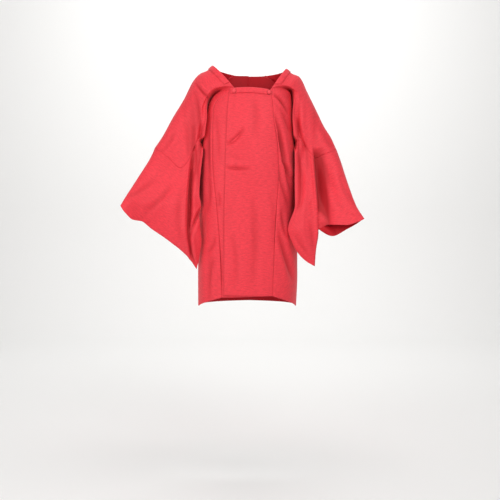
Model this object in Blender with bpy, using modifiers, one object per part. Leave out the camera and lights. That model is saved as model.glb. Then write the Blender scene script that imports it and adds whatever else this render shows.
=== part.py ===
"""Michiyuki: a square-necked kimono coat in red silk crepe, in the hollow shape that it has when worn.

Metres, +Z up, front towards -Y, the wearer's left at +X. The origin lies midway between the two shoulder
points beside the neck, where the wearer carries the coat. Tables hold millimetres.

The body hangs as level rings, each a rounded oblong. A "wing" is the cloth that covers one arm: its fall
lines run from the neck edge over the armhole seam to the sleeve's bottom edge and cuff, on the front (from
the gap beside the body to the ridge along the arm) and on the back in the same way.
"""
import bmesh
import bpy
import numpy as np
from mathutils import Vector

MM = 0.001
NAME = "michiyuki_coat"

# Cloth and sewing
WALL = 2.0 * MM             # each panel with its lining
SEAM_INSET = 0.2 * MM       # each panel stops this far from the seam line
SLANTED_INSET = 0.45 * MM   # the same along a row that meets its seam at a slant
STACK = 3.0 * MM            # from the middle of a panel to the middle of what lies on it
FRONT_LAYER = 5.0 * MM      # the upper overlap stands this far off the lower one
BAND_WIDTH = 18.0 * MM      # folded edge round the neck
BUTTON_DIAMETER = 19.0 * MM
BUTTON_THICKNESS = 7.0 * MM
BUTTON_DROP = 10.0 * MM     # from the top edge to the button's middle
BUTTON_GAP = 1.0 * MM       # the button stands on its thread
BUTTON_SHARES = {"right": 0.09, "left": 0.93}   # places across the upper overlap
BUTTON_PROFILE = ((0.0, 1.0), (0.5, 0.94), (0.85, 0.7), (1.0, 0.3), (0.8, 0.0), (0.0, 0.0))
BUTTON_STEPS = 16
SMALL_STEP = 0.02           # share of the overlap's width that shows the front's slope beside a button
BAND_ACROSS = (0.0, BAND_WIDTH / 2, BAND_WIDTH)
FRONT_BAND_SHARES = (0.02, 0.14, 0.28, 0.41, 0.54, 0.65, 0.76, 0.84, 0.92, 0.96)
BAND_STARTS = 2             # the side bands start this many fall lines from the corner
SEWN_HALF = 1.35 * MM       # half the distance between the two layers along a sewn edge
FOLD_ROOM = 5.4 * MM        # a fold's floor keeps at least this far off the layer behind it
MERGE = 0.01 * MM           # points closer than this are one point

# Form
RING_POWER = 2.4            # 2 is an ellipse, more is squarer
CHEST = (0.0, 0.0, -200 * MM)   # a place inside the body that every neck band faces away from
ARM_CLEARANCE = 5.0 * MM    # a sleeve keeps this far off the body
FRONT_CLEARANCE = 2.0 * MM  # and this much more beside the front, where the overlaps lie on each other
CLEARING_POWER = 24         # how sharply a sleeve turns where it meets that clearance
SEWN_SPREAD = 110.0 * MM    # a sleeve opens to its full thickness over this distance from its sewn edge
FOLD_FLOOR = 7.0 * MM       # width of the floor of the fold between body and wing, and of its wall
FOLD_MOUTH = 12.0 * MM
NECK_RISE = 5.0 * MM        # the overlaps' top edges rise this much in the middle
LAYER_FADES = (0.45, 0.85)  # the lift of the front's upper layer dies out between these places around
CLEARING = (0.06, 0.16)     # rows of a sleeve between which it starts to keep that clearance
FOLD_FADES = 0.2            # row of a sleeve where the fold beside the body has died out
FOLD_ENDS = 0.3             # share of a body fold at either end where it grows
ROOM_LEFT = 0.4             # share of a wing's half thickness that no fold takes
SEAM_EASES = 0.1            # share of the side seam, from the armpit, that runs over to its own line

# Samples of curves that lengths and distances are measured on
TURN_SAMPLES = 49
RIDGE_SAMPLES = 25
NECK_SAMPLES = 33
ROW_TRIES = 21

# Grid
SHOULDER_ROWS = 10
TORSO_ROWS = 13
SLEEVE_ROWS = 14
WING_COLUMNS = 12
LINES_CROWD = 1.6           # the fall lines lie closer towards the ridge
FIRST_LINES = (0.0, 0.04)
LINE_GAP = 0.035            # a fall line closer to a fold's own lines than this is left out
NEAR_RIDGE = 0.9
FRONT_SHARES = (0.0, 0.08, 0.26, 0.44, 0.61, 0.78, 0.92, 1.0)
BACK_SHARES = (0.0, 0.14, 0.28, 0.42, 0.56, 0.70, 0.83, 0.94, 1.0)
OVERLAP_SHARES = (0.0, 0.28, 0.54, 0.76, 0.92, 1.0)
GORE_SHARES = (0.0, 0.16, 0.5, 0.84, 1.0)
SEAM_ROW = 3 * MM           # a narrow row on both sides of the armhole seam
LAST_STATION = 0.96         # and its place on the fold beside the body
BAND_SEARCH = 0.4           # the neck band's rows lie within this share of a fall line
BACK_ROW = 20 * MM          # height of the back's row below the band
GORE_TOP = 0.4              # the gore starts this share of a row below the armpit
SLEEVE_TOP = 0.15           # and so does the sleeve beside the armpit

UNSCALED = {"station", "around", "loss", "line", "start", "full", "fade", "stop"}


def table(columns, *rows):
    """A dictionary of columns; lengths come in as millimetres and go out as metres."""
    names = columns.split()
    values = np.array(rows, float).T
    return {name: column * (1 if name in UNSCALED else MM) for name, column in zip(names, values)}


def each_row(rows):
    """The rows of a table, as tuples."""
    return zip(*rows.values())


# Body: half width on each side and the depth to the front and the back, by height
TORSO = table(
    "z     right  left  front  back",
    (-820, 170, 160, 125, 128),
    (-700, 170, 165, 126, 129),
    (-620, 169, 165, 128, 131),
    (-470, 167, 162, 131, 130),
    (-340, 163, 159, 131, 124),
    (-255, 154, 153, 128, 120),
    (-185, 146, 149, 122, 118),
    (-135, 138, 148, 113, 117),
    (-110, 128, 147, 108, 116),
    (-85, 115, 146, 103, 112),
    (0, 112, 120, 95, 104),
)
GORE = table(
    "z     half",
    (-810, 36),
    (-262, 17),
)

# Front seams and edges, from the top down. x is across the front.
SEAM_OF_LOWER_OVERLAP = table(
    "station x  z",
    (0.00, -50, -90),
    (0.06, -73, -110),
    (0.12, -108, -130),
    (0.18, -117, -162),
    (0.30, -119, -236),
    (0.45, -117, -350),
    (0.60, -106, -456),
    (0.80, -93, -622),
    (1.00, -87, -772),
)
EDGE_OF_UPPER_OVERLAP = table(
    "station x  z",
    (0.00, -60, -90),
    (0.10, -68, -150),
    (0.40, -76, -363),
    (0.70, -80, -561),
    (1.00, -80, -764),
)
SEAM_OF_UPPER_OVERLAP = table(
    "station x  z",
    (0.00, 70, -94),
    (0.06, 79, -128),
    (0.16, 83, -185),
    (0.30, 96, -280),
    (0.45, 99, -370),
    (0.60, 92, -480),
    (0.80, 84, -630),
    (1.00, 79, -767),
)
HIDDEN_EDGE_INSET = 14 * MM  # the lower overlap stops this far short of the upper one's seam
SIDE_HEM = -805 * MM
BACK_HEM = -800 * MM

# Where each wing meets the body: a fold runs from the corner of the neck down to the armpit. "around" goes
# from 0 at the middle of the front (or back) to 1 at the side.
FOLD_TO_ARM = {
    ("right", "front"): table(
        "station around z",
        (0.00, 0.26, -86), (0.12, 0.36, -86), (0.24, 0.56, -90), (0.36, 0.72, -112), (0.48, 0.80, -140),
        (0.72, 0.87, -195), (1.00, 0.91, -262)),
    ("left", "front"): table(
        "station around z",
        (0.00, 0.36, -91), (0.12, 0.44, -84), (0.24, 0.58, -83), (0.36, 0.74, -92), (0.48, 0.84, -125),
        (0.72, 0.89, -190), (1.00, 0.91, -262)),
    ("right", "back"): table(
        "station around z",
        (0.00, 0.26, -10), (0.24, 0.44, -30), (0.48, 0.64, -90), (0.72, 0.80, -165), (1.00, 0.91, -262)),
    ("left", "back"): table(
        "station around z",
        (0.00, 0.26, -12), (0.24, 0.44, -30), (0.48, 0.64, -90), (0.72, 0.80, -165), (1.00, 0.91, -262)),
}

# Ridge of each wing, from the shoulder point to the armhole seam and on to the cuff
RIDGE_OF_SHOULDER = {
    "right": table(
        "station x z",
        (0.00, -121, 6), (0.07, -139, -12), (0.14, -164, -24), (0.24, -188, -51), (0.42, -216, -107),
        (0.64, -255, -173), (0.87, -291, -240), (1.00, -314, -275)),
    "left": table(
        "station x z",
        (0.00, 127, -6), (0.07, 145, -22), (0.15, 171, -34), (0.35, 199, -88), (0.55, 229, -149),
        (0.74, 254, -203), (0.87, 277, -240), (1.00, 295, -281)),
}
RIDGE_OF_SLEEVE = {
    "right": table(
        "station x z",
        (0.0, -314, -275), (0.15, -325, -303), (0.6, -368, -383), (1.0, -412, -472)),
    "left": table(
        "station x z",
        (0.0, 295, -281), (0.25, 312, -337), (0.7, 341, -441), (0.85, 353, -477), (1.0, 373, -515)),
}

# Armhole seam: from the armpit, over the fold's rim, to the ridge
ARMHOLE = {
    ("right", "front"): table(
        "station x z",
        (0.00, -146, -262), (0.08, -159, -256), (0.20, -178, -288), (0.30, -197, -325), (0.42, -220, -346),
        (0.65, -262, -313), (1.00, -314, -275)),
    ("left", "front"): table(
        "station x z",
        (0.00, 147, -262), (0.08, 162, -255), (0.20, 184, -274), (0.40, 221, -312), (0.52, 240, -303),
        (0.75, 272, -293), (1.00, 295, -281)),
    ("right", "back"): table(
        "station x z",
        (0.00, -146, -262), (0.08, -164, -262), (0.30, -190, -292), (0.65, -250, -305), (1.00, -314, -275)),
    ("left", "back"): table(
        "station x z",
        (0.00, 147, -262), (0.08, 165, -262), (0.40, 212, -300), (0.75, 262, -300), (1.00, 295, -281)),
}

# Inner edge of each sleeve, from the armpit down to its tip: open at first, then sewn
INNER_EDGE = {
    ("right", "front"): table(
        "station x z",
        (0.00, -146, -262), (0.18, -147, -336), (0.38, -152, -419), (0.52, -152, -476), (0.64, -161, -525),
        (0.76, -155, -575), (0.89, -160, -632), (1.00, -171, -680)),
    ("left", "front"): table(
        "station x z",
        (0.00, 147, -262), (0.20, 146, -354), (0.47, 148, -469), (0.66, 126, -548), (0.76, 140, -588),
        (0.86, 165, -630), (0.94, 192, -655), (1.00, 217, -669)),
    ("right", "back"): table(
        "station x z",
        (0.00, -146, -262), (0.18, -164, -336), (0.38, -163, -419), (0.52, -152, -476), (0.64, -161, -525),
        (0.76, -155, -575), (0.89, -160, -632), (1.00, -171, -680)),
    ("left", "back"): table(
        "station x z",
        (0.00, 147, -262), (0.20, 164, -354), (0.47, 162, -469), (0.66, 126, -548), (0.76, 140, -588),
        (0.86, 165, -630), (0.94, 192, -655), (1.00, 217, -669)),
}
SEWN_STARTS = {"right": 0.52, "left": 0.66}

# Bottom of each sleeve, from its tip: sewn up to the cuff, then open to the ridge
BOTTOM = {
    ("right", "front"): table(
        "station x z",
        (0.00, -171, -680), (0.30, -198, -642), (0.40, -230, -611), (0.52, -275, -576), (0.64, -322, -543),
        (0.72, -346, -523), (0.82, -372, -518), (0.92, -393, -498), (1.00, -412, -472)),
    ("left", "front"): table(
        "station x z",
        (0.00, 217, -669), (0.15, 219, -633), (0.30, 224, -580), (0.38, 229, -548), (0.44, 240, -543),
        (0.54, 262, -534), (0.72, 314, -535), (0.88, 350, -525), (1.00, 373, -515)),
    ("left", "back"): table(
        "station x z",
        (0.00, 217, -669), (0.15, 219, -633), (0.30, 224, -580), (0.38, 229, -548), (0.46, 250, -562),
        (0.54, 274, -571), (0.72, 322, -548), (0.88, 353, -530), (1.00, 373, -515)),
}
BOTTOM["right", "back"] = BOTTOM["right", "front"]
CUFF_STARTS = {"right": 0.64, "left": 0.38}

# Half thickness of a wing off its middle surface, and where that surface lies, by distance from the middle
WING = table(
    "across front back middle",
    (40, 99, 104, 0),
    (100, 96, 98, 0),
    (150, 82, 74, 0),
    (200, 62, 62, -2),
    (260, 50, 50, -10),
    (320, 44, 44, -24),
    (430, 38, 38, -80),
)
# A hanging sleeve grows thinner and swings forward below the armpit
HANG = {
    "right": table(
        "z loss forward",
        (-680, 0.50, 62), (-560, 0.45, 74), (-470, 0.35, 68), (-370, 0.15, 20), (-250, 0, 0), (-200, 0, 0)),
    "left": table(
        "z loss forward",
        (-680, 0.55, 96), (-560, 0.50, 108), (-460, 0.35, 68), (-370, 0.15, 22), (-250, 0, 0), (-200, 0, 0)),
}

# Large folds of the wings: a floor, a mouth to either side and a depth, along one fall line. Rows run from
# -1 at the neck over 0 at the armhole seam to 1 at the bottom.
WING_FOLD_COLUMNS = "line floor inner outer depth start full fade stop"
WING_FOLDS = {
    ("right", "front"): table(
        WING_FOLD_COLUMNS,
        (0.30, 3, 15, 16, 21, 0.00, 0.40, 0.45, 0.75),
        (0.17, 2, 14, 16, 9, -0.95, -0.50, 0.00, 0.40)),
    ("left", "front"): table(
        WING_FOLD_COLUMNS,
        (0.41, 3, 17, 32, 30, 0.00, 0.85, 2.00, 3.00),
        (0.17, 2, 14, 16, 9, -0.80, -0.40, 0.20, 0.70)),
    ("right", "back"): table(
        WING_FOLD_COLUMNS,
        (0.22, 2, 22, 24, 16, -0.60, 0.10, 0.60, 0.95),
        (0.52, 2, 24, 30, 14, -0.20, 0.30, 0.60, 0.90)),
    ("left", "back"): table(
        WING_FOLD_COLUMNS,
        (0.24, 2, 22, 24, 12, -0.60, 0.10, 0.50, 0.90),
        (0.54, 2, 24, 26, 7, 0.10, 0.70, 2.00, 3.00)),
}
DEEP = 20 * MM              # a fold deeper than this has fall lines of its own
DEEP_FOLD_LINES = (-0.05, -0.015, 0.015, 0.055)

# Large folds of the body: straight valleys from one place (x0, z0) to another on the front or back
BODY_FOLD_COLUMNS = "x0 z0 x1 z1 mouth depth"
BODY_FOLDS = {
    ("left", "front"): table(
        BODY_FOLD_COLUMNS,
        (96, -190, 138, -420, 16, 6),
        (92, -500, 150, -740, 22, 6)),
    ("right", "front"): table(
        BODY_FOLD_COLUMNS,
        (128, -560, 140, -700, 18, 4)),
    ("left", "back"): table(
        BODY_FOLD_COLUMNS,
        (60, -120, 95, -700, 30, 7)),
    ("right", "back"): table(
        BODY_FOLD_COLUMNS,
        (55, -160, 90, -690, 30, 7)),
}

RED = (0.83, 0.045, 0.065, 1.0)
ROUGHNESS = 0.62


def smooth(t):
    """0 to 1 with level ends."""
    t = np.clip(t, 0.0, 1.0)
    return t * t * (3 - 2 * t)


def spline(knots, values, at):
    """A smooth curve through the values that never swings past them."""
    if knots[0] > knots[-1]:
        knots, values = knots[::-1], values[::-1]
    at = np.clip(at, knots[0], knots[-1])
    step = np.diff(knots)
    slope = np.diff(values) / step
    tangent = np.concatenate(([slope[0]], np.zeros(len(knots) - 2), [slope[-1]]))
    for i in range(1, len(knots) - 1):
        if slope[i - 1] * slope[i] > 0:
            tangent[i] = 2 * slope[i - 1] * slope[i] / (slope[i - 1] + slope[i])
    i = np.clip(np.searchsorted(knots, at) - 1, 0, len(step) - 1)
    t = (at - knots[i]) / step[i]
    return (values[i] * (1 + 2 * t) * (1 - t) ** 2 + values[i + 1] * t * t * (3 - 2 * t)
            + step[i] * t * (1 - t) * (tangent[i] * (1 - t) - tangent[i + 1] * t))


def along(rows, at):
    """The x and z of a table of stations."""
    return np.array([spline(rows["station"], rows["x"], at), spline(rows["station"], rows["z"], at)])


def sign(side):
    return -1 if side == "right" else 1


def facing(face):
    return -1 if face == "front" else 1


class Ring:
    """One quarter of the body's level ring: side is right or left, face is front or back."""

    def __init__(self, side, face, z, lift=0.0):
        self.side, self.face, self.z = side, face, z
        half = spline(TORSO["z"], TORSO[side], z)
        depth = spline(TORSO["z"], TORSO[face], z)
        turn = np.linspace(0, np.pi / 2, TURN_SAMPLES)
        x = half * np.sin(turn) ** (2 / RING_POWER)
        y = depth * np.cos(turn) ** (2 / RING_POWER)
        length = np.concatenate(([0], np.cumsum(np.hypot(np.diff(x), np.diff(y)))))
        self.x, self.y, self.around = x, y, length / length[-1]
        self.lift = lift

    def point(self, around):
        """A place on the ring, with the upper layer's lift dying out towards the side."""
        x = np.interp(around, self.around, self.x)
        fades = (around - LAYER_FADES[0]) / (LAYER_FADES[1] - LAYER_FADES[0])
        y = np.interp(around, self.around, self.y) + self.lift * (1 - smooth(fades))
        y += body_fold(self.side, self.face, x, self.z)
        return np.array([sign(self.side) * x, facing(self.face) * y, self.z])

    def at_x(self, x):
        return np.interp(abs(x), self.x, self.around)

    def at_depth(self, y):
        return np.interp(-abs(y), -self.y, self.around)


def body_fold(side, face, x, z):
    """How far the body's folds draw the cloth in at a place."""
    inward = 0.0
    for x0, z0, x1, z1, mouth, depth in each_row(BODY_FOLDS[side, face]):
        start = np.array([x0, z0])
        run = np.array([x1, z1]) - start
        share = np.dot(np.array([x, z]) - start, run) / np.dot(run, run)
        away = np.linalg.norm(np.array([x, z]) - start - share * run)
        ends = smooth(share / FOLD_ENDS) * smooth((1 - share) / FOLD_ENDS)
        inward -= depth * ends * (1 - smooth(away / mouth))
    return inward


def lift_of(side, face):
    return FRONT_LAYER if (side, face) == ("left", "front") else 0.0


def fold_to_arm(side, face, station):
    """The floor of the fold between body and wing."""
    rows = FOLD_TO_ARM[side, face]
    ring = Ring(side, face, spline(rows["station"], rows["z"], station), lift_of(side, face))
    return ring.point(spline(rows["station"], rows["around"], station))


def distance_to(line, place):
    """Distance from a place to a line of points, both flat or both in space."""
    start, run = line[:-1], np.diff(line, axis=0)
    share = np.clip(((place - start) * run).sum(1) / (run ** 2).sum(1), 0, 1)
    return np.sqrt(((start + share[:, None] * run - place) ** 2).sum(1)).min()


class Wing:
    """The cloth over one arm, on its front or its back."""

    def __init__(self, side, face):
        self.side, self.face = side, face
        steps = np.linspace(0, 1, RIDGE_SAMPLES)
        shoulder = np.array([along(RIDGE_OF_SHOULDER[side], t) for t in steps])
        sleeve = np.array([along(RIDGE_OF_SLEEVE[side], t) for t in steps])
        self.ridge = np.concatenate((shoulder, sleeve[1:]))
        beside_body = np.linspace(SEWN_STARTS[side], 1, RIDGE_SAMPLES)
        below_arm = np.linspace(0, CUFF_STARTS[side], RIDGE_SAMPLES)
        inner = [along(INNER_EDGE[side, "front"], t) for t in beside_body]
        bottom = [along(BOTTOM[side, "front"], t) for t in below_arm]
        self.sewn = np.array(inner + bottom[1:])

    def flat(self, a, b):
        """x and z of a place: a is 0 at the body and 1 at the ridge, b runs from -1 at the neck to 1."""
        side, face = self.side, self.face
        armhole = along(ARMHOLE[side, face], a)
        if b <= 0:
            t = b + 1
            inner = fold_to_arm(side, face, t)[[0, 2]]
            first = fold_to_arm(side, face, 0)[[0, 2]]
            last = fold_to_arm(side, face, 1)[[0, 2]]
            neck = first + (along(RIDGE_OF_SHOULDER[side], 0) - first) * a
            ridge = along(RIDGE_OF_SHOULDER[side], t)
            armhole = armhole + (1 - a) * (last - along(ARMHOLE[side, face], 0))
            corners = ((1 - a) * (1 - t) * first + a * (1 - t) * self.ridge[0] + (1 - a) * t * last
                       + a * t * along(ARMHOLE[side, face], 1))
            return (1 - t) * neck + t * armhole + (1 - a) * inner + a * ridge - corners
        last = fold_to_arm(side, face, 1)[[0, 2]]
        shift = last - along(ARMHOLE[side, face], 0)
        armhole = armhole + (1 - a) * shift
        bottom = along(BOTTOM[side, face], a)
        inner = along(INNER_EDGE[side, face], b) + (1 - b) * shift
        ridge = along(RIDGE_OF_SLEEVE[side], b)
        corners = ((1 - a) * (1 - b) * last + a * (1 - b) * along(ARMHOLE[side, face], 1)
                   + (1 - a) * b * along(BOTTOM[side, face], 0) + a * b * along(BOTTOM[side, face], 1))
        return (1 - b) * armhole + b * bottom + (1 - a) * inner + a * ridge - corners

    def thickness(self, place, a):
        """Half the distance between the wing's front and its back."""
        x, z = abs(place[0]), place[1]
        full = spline(WING["across"], WING[self.face], x)
        full *= 1 - spline(HANG[self.side]["z"], HANG[self.side]["loss"], z)
        rise = min(distance_to(self.ridge, place) / full, 1)
        closing = min(distance_to(self.sewn, place) / SEWN_SPREAD, 1)
        half = full * np.sqrt(1 - (1 - rise) ** 2) * (1 - (1 - closing) ** 2)
        return max(half, SEWN_HALF) if a < 1 else 0.0

    def middle(self, place):
        x, z = abs(place[0]), place[1]
        arm = spline(WING["across"], WING["middle"], x)
        return arm - spline(HANG[self.side]["z"], HANG[self.side]["forward"], z)

    def drawn_in(self, a, b, place):
        """How far the large folds draw the cloth towards the wing's middle."""
        drawn = 0.0
        for row in each_row(WING_FOLDS[self.side, self.face]):
            line, floor, inner, outer, depth, start, full, fade, stop = row
            if not start < b < stop:
                continue
            away = np.linalg.norm(place - self.flat(line, b))
            across = 1 - smooth((away - floor) / (inner if a < line else outer))
            grows = smooth((b - start) / (full - start)) * smooth((stop - b) / (stop - fade))
            drawn += depth * across * grows
        return drawn

    def neck(self):
        """Points along the neck edge, from the corner to the shoulder point."""
        return np.array([self.point(t, -1) for t in np.linspace(0, 1, NECK_SAMPLES)])

    def point(self, a, b):
        if a == 0 and b <= 0:
            return fold_to_arm(self.side, self.face, b + 1)
        place = self.flat(a, b)
        half = self.thickness(place, a)
        room = (2 - ROOM_LEFT) * half - FOLD_ROOM
        inward = min(self.drawn_in(a, b, place), max(room, 0.0))
        y = self.middle(place) + facing(self.face) * (half - inward)
        # The wing turns in to the floor of the fold beside the body
        edge = self.flat(0, b)
        near = 1 - smooth((np.linalg.norm(place - edge) - FOLD_FLOOR) / FOLD_MOUTH)
        if b <= 0:
            floor = fold_to_arm(self.side, self.face, b + 1)[1]
        else:
            floor = fold_to_arm(self.side, self.face, 1)[1]
            near *= 1 - smooth(b / FOLD_FADES)
        y += near * (floor - y)
        x, z = place
        if b > CLEARING[0]:
            x, y = self.clear_of_body(x, y, z, b)
        return np.array([x, y, z])

    def clear_of_body(self, x, y, z, b):
        """Moves a place out of the body's ring, and one just outside it a little."""
        starts = smooth((b - CLEARING[0]) / (CLEARING[1] - CLEARING[0]))
        off = (ARM_CLEARANCE + (FRONT_CLEARANCE if self.face == "front" else 0.0)) * starts
        half = spline(TORSO["z"], TORSO[self.side], z) + off
        depth = spline(TORSO["z"], TORSO["front" if y < 0 else "back"], z) + off
        away = ((abs(x) / half) ** RING_POWER + (abs(y) / depth) ** RING_POWER) ** (1 / RING_POWER)
        grow = 1 + starts * ((1 + away ** -CLEARING_POWER) ** (1 / CLEARING_POWER) - 1)
        return x * grow, y * grow


def fall_lines(side, face):
    """Stations of the fall lines: closer towards the ridge and at the deep folds."""
    even = 1 - (1 - np.linspace(0, 1, WING_COLUMNS)) ** LINES_CROWD
    lines = list(FIRST_LINES)
    folds = WING_FOLDS[side, face]
    for line in folds["line"][folds["depth"] > DEEP]:
        lines += [line + off for off in DEEP_FOLD_LINES]
    near_ridge = even[even > NEAR_RIDGE]
    apart = [a for a in even if a in near_ridge or np.abs(a - np.array(lines)).min() > LINE_GAP]
    return sorted(lines + apart)


def inset(grid, column, distance=SEAM_INSET):
    """Draws the first (0) or last (-1) column of a grid back from its seam, by a third of a narrow cell."""
    grid = np.array(grid)
    edge, away = grid[:, column], grid[:, 1 if column == 0 else -2] - grid[:, column]
    width = np.linalg.norm(away, axis=1, keepdims=True)
    grid[:, column] = edge + np.minimum(distance, width / 3) * unit(away)
    return grid


def off_seam(seam, beside, distance):
    """The armhole seam's points moved off it: square to the seam, but down the fall line on the ridge."""
    run = unit(np.gradient(seam, axis=0))
    away = beside - seam
    away[:-1] -= (away * run).sum(1, keepdims=True)[:-1] * run[:-1]
    return seam + distance * unit(away)


def unit(vectors):
    return vectors / np.maximum(np.linalg.norm(vectors, axis=-1, keepdims=True), 1e-9)


def side_seam(side, face, t):
    """Where the gore meets a panel: around and z, from the armpit (0) to the hem (1)."""
    fold = FOLD_TO_ARM[side, face]
    top = fold["z"][-1]
    z = top + (SIDE_HEM - top) * t
    seam = Ring(side, face, z).at_depth(spline(GORE["z"], GORE["half"], z))
    return seam + (fold["around"][-1] - seam) * (1 - smooth(t / SEAM_EASES)), z


def shoulder_stations(side, face, a):
    """Rows of one fall line from the neck (0) to the armhole (1)."""
    wing = Wing(side, face)
    neck = wing.neck()
    tries = np.linspace(0, BAND_SEARCH, ROW_TRIES)
    away = [distance_to(neck, wing.point(a, t - 1)) for t in tries]
    band = [np.interp(width, away, tries) for width in BAND_ACROSS]
    even = np.linspace(band[-1], 1, SHOULDER_ROWS - 2)
    return band + list(even[1:-1]) + [LAST_STATION, 1.0]


def inner_stations():
    """Rows down an inner line, from 0 to 1."""
    return np.linspace(0, 1, SHOULDER_ROWS + TORSO_ROWS + 1)


def torso_rows(side, face, inner_line):
    """Pairs of places (around, z): on the inner line and on the fold, then on the side seam."""
    fold = FOLD_TO_ARM[side, face]
    outer = [(spline(fold["station"], fold["around"], t), spline(fold["station"], fold["z"], t))
             for t in shoulder_stations(side, face, 0)]
    outer += [side_seam(side, face, i / TORSO_ROWS) for i in range(1, TORSO_ROWS + 1)]
    return [(inner_line(t), place) for t, place in zip(inner_stations(), outer)]


def torso_grid(side, face, inner_line, shares):
    """The body's panel from its inner line to the fold and the side seam."""
    grid = []
    for (inner, inner_z), (outer, outer_z) in torso_rows(side, face, inner_line):
        row = []
        for share in shares:
            z = inner_z + (outer_z - inner_z) * share
            row.append(Ring(side, face, z, lift_of(side, face)).point(inner + (outer - inner) * share))
        grid.append(row)
    return np.array(grid)


def front_line(side):
    rows = SEAM_OF_UPPER_OVERLAP if side == "left" else SEAM_OF_LOWER_OVERLAP

    def place(t):
        x, z = along(rows, t)
        return Ring(side, "front", z).at_x(x), z
    return place


def back_line(side):
    widths = list(BAND_ACROSS) + [BAND_ACROSS[-1] + BACK_ROW]
    first = inner_stations()[:4]

    def place(t):
        top = FOLD_TO_ARM[side, "back"]["z"][0]
        if t < first[-1]:
            z = top - np.interp(t, first, widths)
        else:
            z = top - widths[-1] + (BACK_HEM - top + widths[-1]) * (t - first[-1]) / (1 - first[-1])
        return Ring(side, "back", z).at_x(SEAM_INSET), z
    return place


def sheet(name, grids, material, thickness=WALL):
    """One piece of cloth from grids whose common edges are welded, with its thickness."""
    mesh = bmesh.new()
    for grid in grids:
        verts = [[mesh.verts.new(p) for p in row] for row in grid]
        for i in range(len(verts) - 1):
            for j in range(len(verts[0]) - 1):
                mesh.faces.new((verts[i][j], verts[i][j + 1], verts[i + 1][j + 1], verts[i + 1][j]))
    bmesh.ops.remove_doubles(mesh, verts=mesh.verts, dist=MERGE)
    bmesh.ops.dissolve_degenerate(mesh, edges=mesh.edges, dist=MERGE)
    bmesh.ops.recalc_face_normals(mesh, faces=mesh.faces)
    data = bpy.data.meshes.new(name)
    mesh.to_mesh(data)
    mesh.free()
    data.shade_smooth()
    piece = bpy.data.objects.new(name, data)
    bpy.data.collections[NAME].objects.link(piece)
    data.materials.append(material)
    wall = piece.modifiers.new("wall", "SOLIDIFY")
    wall.thickness = thickness
    wall.offset = 0.0
    return piece


def shoulder_grid(side, face):
    wing = Wing(side, face)
    columns = []
    for a in fall_lines(side, face):
        columns.append([wing.point(a, t - 1) for t in shoulder_stations(side, face, a)])
    grid = np.array(columns).transpose(1, 0, 2)
    seam, beside = grid[-1, 1:].copy(), grid[-3, 1:]
    grid[-2, 1:] = off_seam(seam, beside, SEAM_ROW)
    grid[-1, 1:] = off_seam(seam, beside, SLANTED_INSET)
    return grid


def sleeve_grid(side, face):
    wing = Wing(side, face)
    rows = np.linspace(0, 1, SLEEVE_ROWS + 1)
    grid = np.array([[wing.point(a, b) for a in fall_lines(side, face)[1:]] for b in rows])
    seam_rows = [off_seam(grid[0], grid[1], distance) for distance in (SLANTED_INSET, SEAM_ROW)]
    for row in seam_rows:
        row[0] += (grid[1, 0] - grid[0, 0]) * SLEEVE_TOP
    return np.concatenate((seam_rows, grid[1:]))


def body_grids(side):
    """The front panel, the shoulder's front and back, and the back panel."""
    front = inset(torso_grid(side, "front", front_line(side), FRONT_SHARES), 0, SLANTED_INSET)
    back = torso_grid(side, "back", back_line(side), BACK_SHARES)
    for grid in (front, back):
        below = slice(SHOULDER_ROWS + 1, None)
        grid[below] = inset(grid[below], -1, SLANTED_INSET)
    return front, shoulder_grid(side, "front"), shoulder_grid(side, "back"), back


def body(side, material):
    return sheet(f"body_{side}", body_grids(side), material)


def sleeve(side, material):
    return sheet(f"sleeve_{side}", (sleeve_grid(side, "front"), sleeve_grid(side, "back")), material)


def front_point(x, z, lift):
    """A place on the front of the body, on either side of its middle."""
    ring = Ring("left" if x > 0 else "right", "front", z)
    return ring.point(ring.at_x(x)) - np.array([0, lift, 0])


def overlap_point(side, share, t):
    """A place on an overlap panel: share 0 is its right edge, 1 its left one, t runs down it."""
    seam_x, seam_z = along(SEAM_OF_UPPER_OVERLAP, t)
    if side == "left":
        first, last, lift = along(EDGE_OF_UPPER_OVERLAP, t), (seam_x, seam_z), FRONT_LAYER
    else:
        first, last, lift = along(SEAM_OF_LOWER_OVERLAP, t), (seam_x - HIDDEN_EDGE_INSET, seam_z), 0.0
    x = first[0] + (last[0] - first[0]) * share
    z = first[1] + (last[1] - first[1]) * share
    z += NECK_RISE * (1 - (2 * share - 1) ** 2) * (1 - smooth(t / SEAM_EASES))
    return front_point(x, z, lift)


def overlap_shares(side):
    """Columns of an overlap, closer towards its seam."""
    return OVERLAP_SHARES if side == "left" else [1 - share for share in OVERLAP_SHARES[::-1]]


def overlap(side, material):
    rows = [[overlap_point(side, share, t) for share in overlap_shares(side)] for t in inner_stations()]
    grid = inset(rows, -1 if side == "left" else 0, SLANTED_INSET)
    return sheet(f"overlap_{side}", (grid,), material)


def gore(side, material):
    """The wedge between the side seams, from just under the armpit to the hem."""
    grid = []
    for t in np.linspace(0, 1, TORSO_ROWS + 1):
        (front, z), (back, _) = side_seam(side, "front", t), side_seam(side, "back", t)
        row = []
        for share in GORE_SHARES:
            if share <= 0.5:
                row.append(Ring(side, "front", z).point(front + (1 - front) * 2 * share))
            else:
                row.append(Ring(side, "back", z).point(1 - (1 - back) * (2 * share - 1)))
        grid.append(row)
    grid = inset(inset(grid, 0, SLANTED_INSET), -1, SLANTED_INSET)
    grid[0] += (grid[1] - grid[0]) * GORE_TOP
    return sheet(f"gore_{side}", (grid,), material)


def moved_out(grid, distance):
    """The grid moved along its outward normals."""
    grid = np.array(grid)
    down = np.gradient(grid, axis=0)
    across = np.gradient(grid, axis=1)
    normal = unit(np.cross(down, across))
    outward = grid - np.array(CHEST)
    normal *= np.sign((normal * outward).sum(-1, keepdims=True))
    return grid + normal * distance


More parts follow.
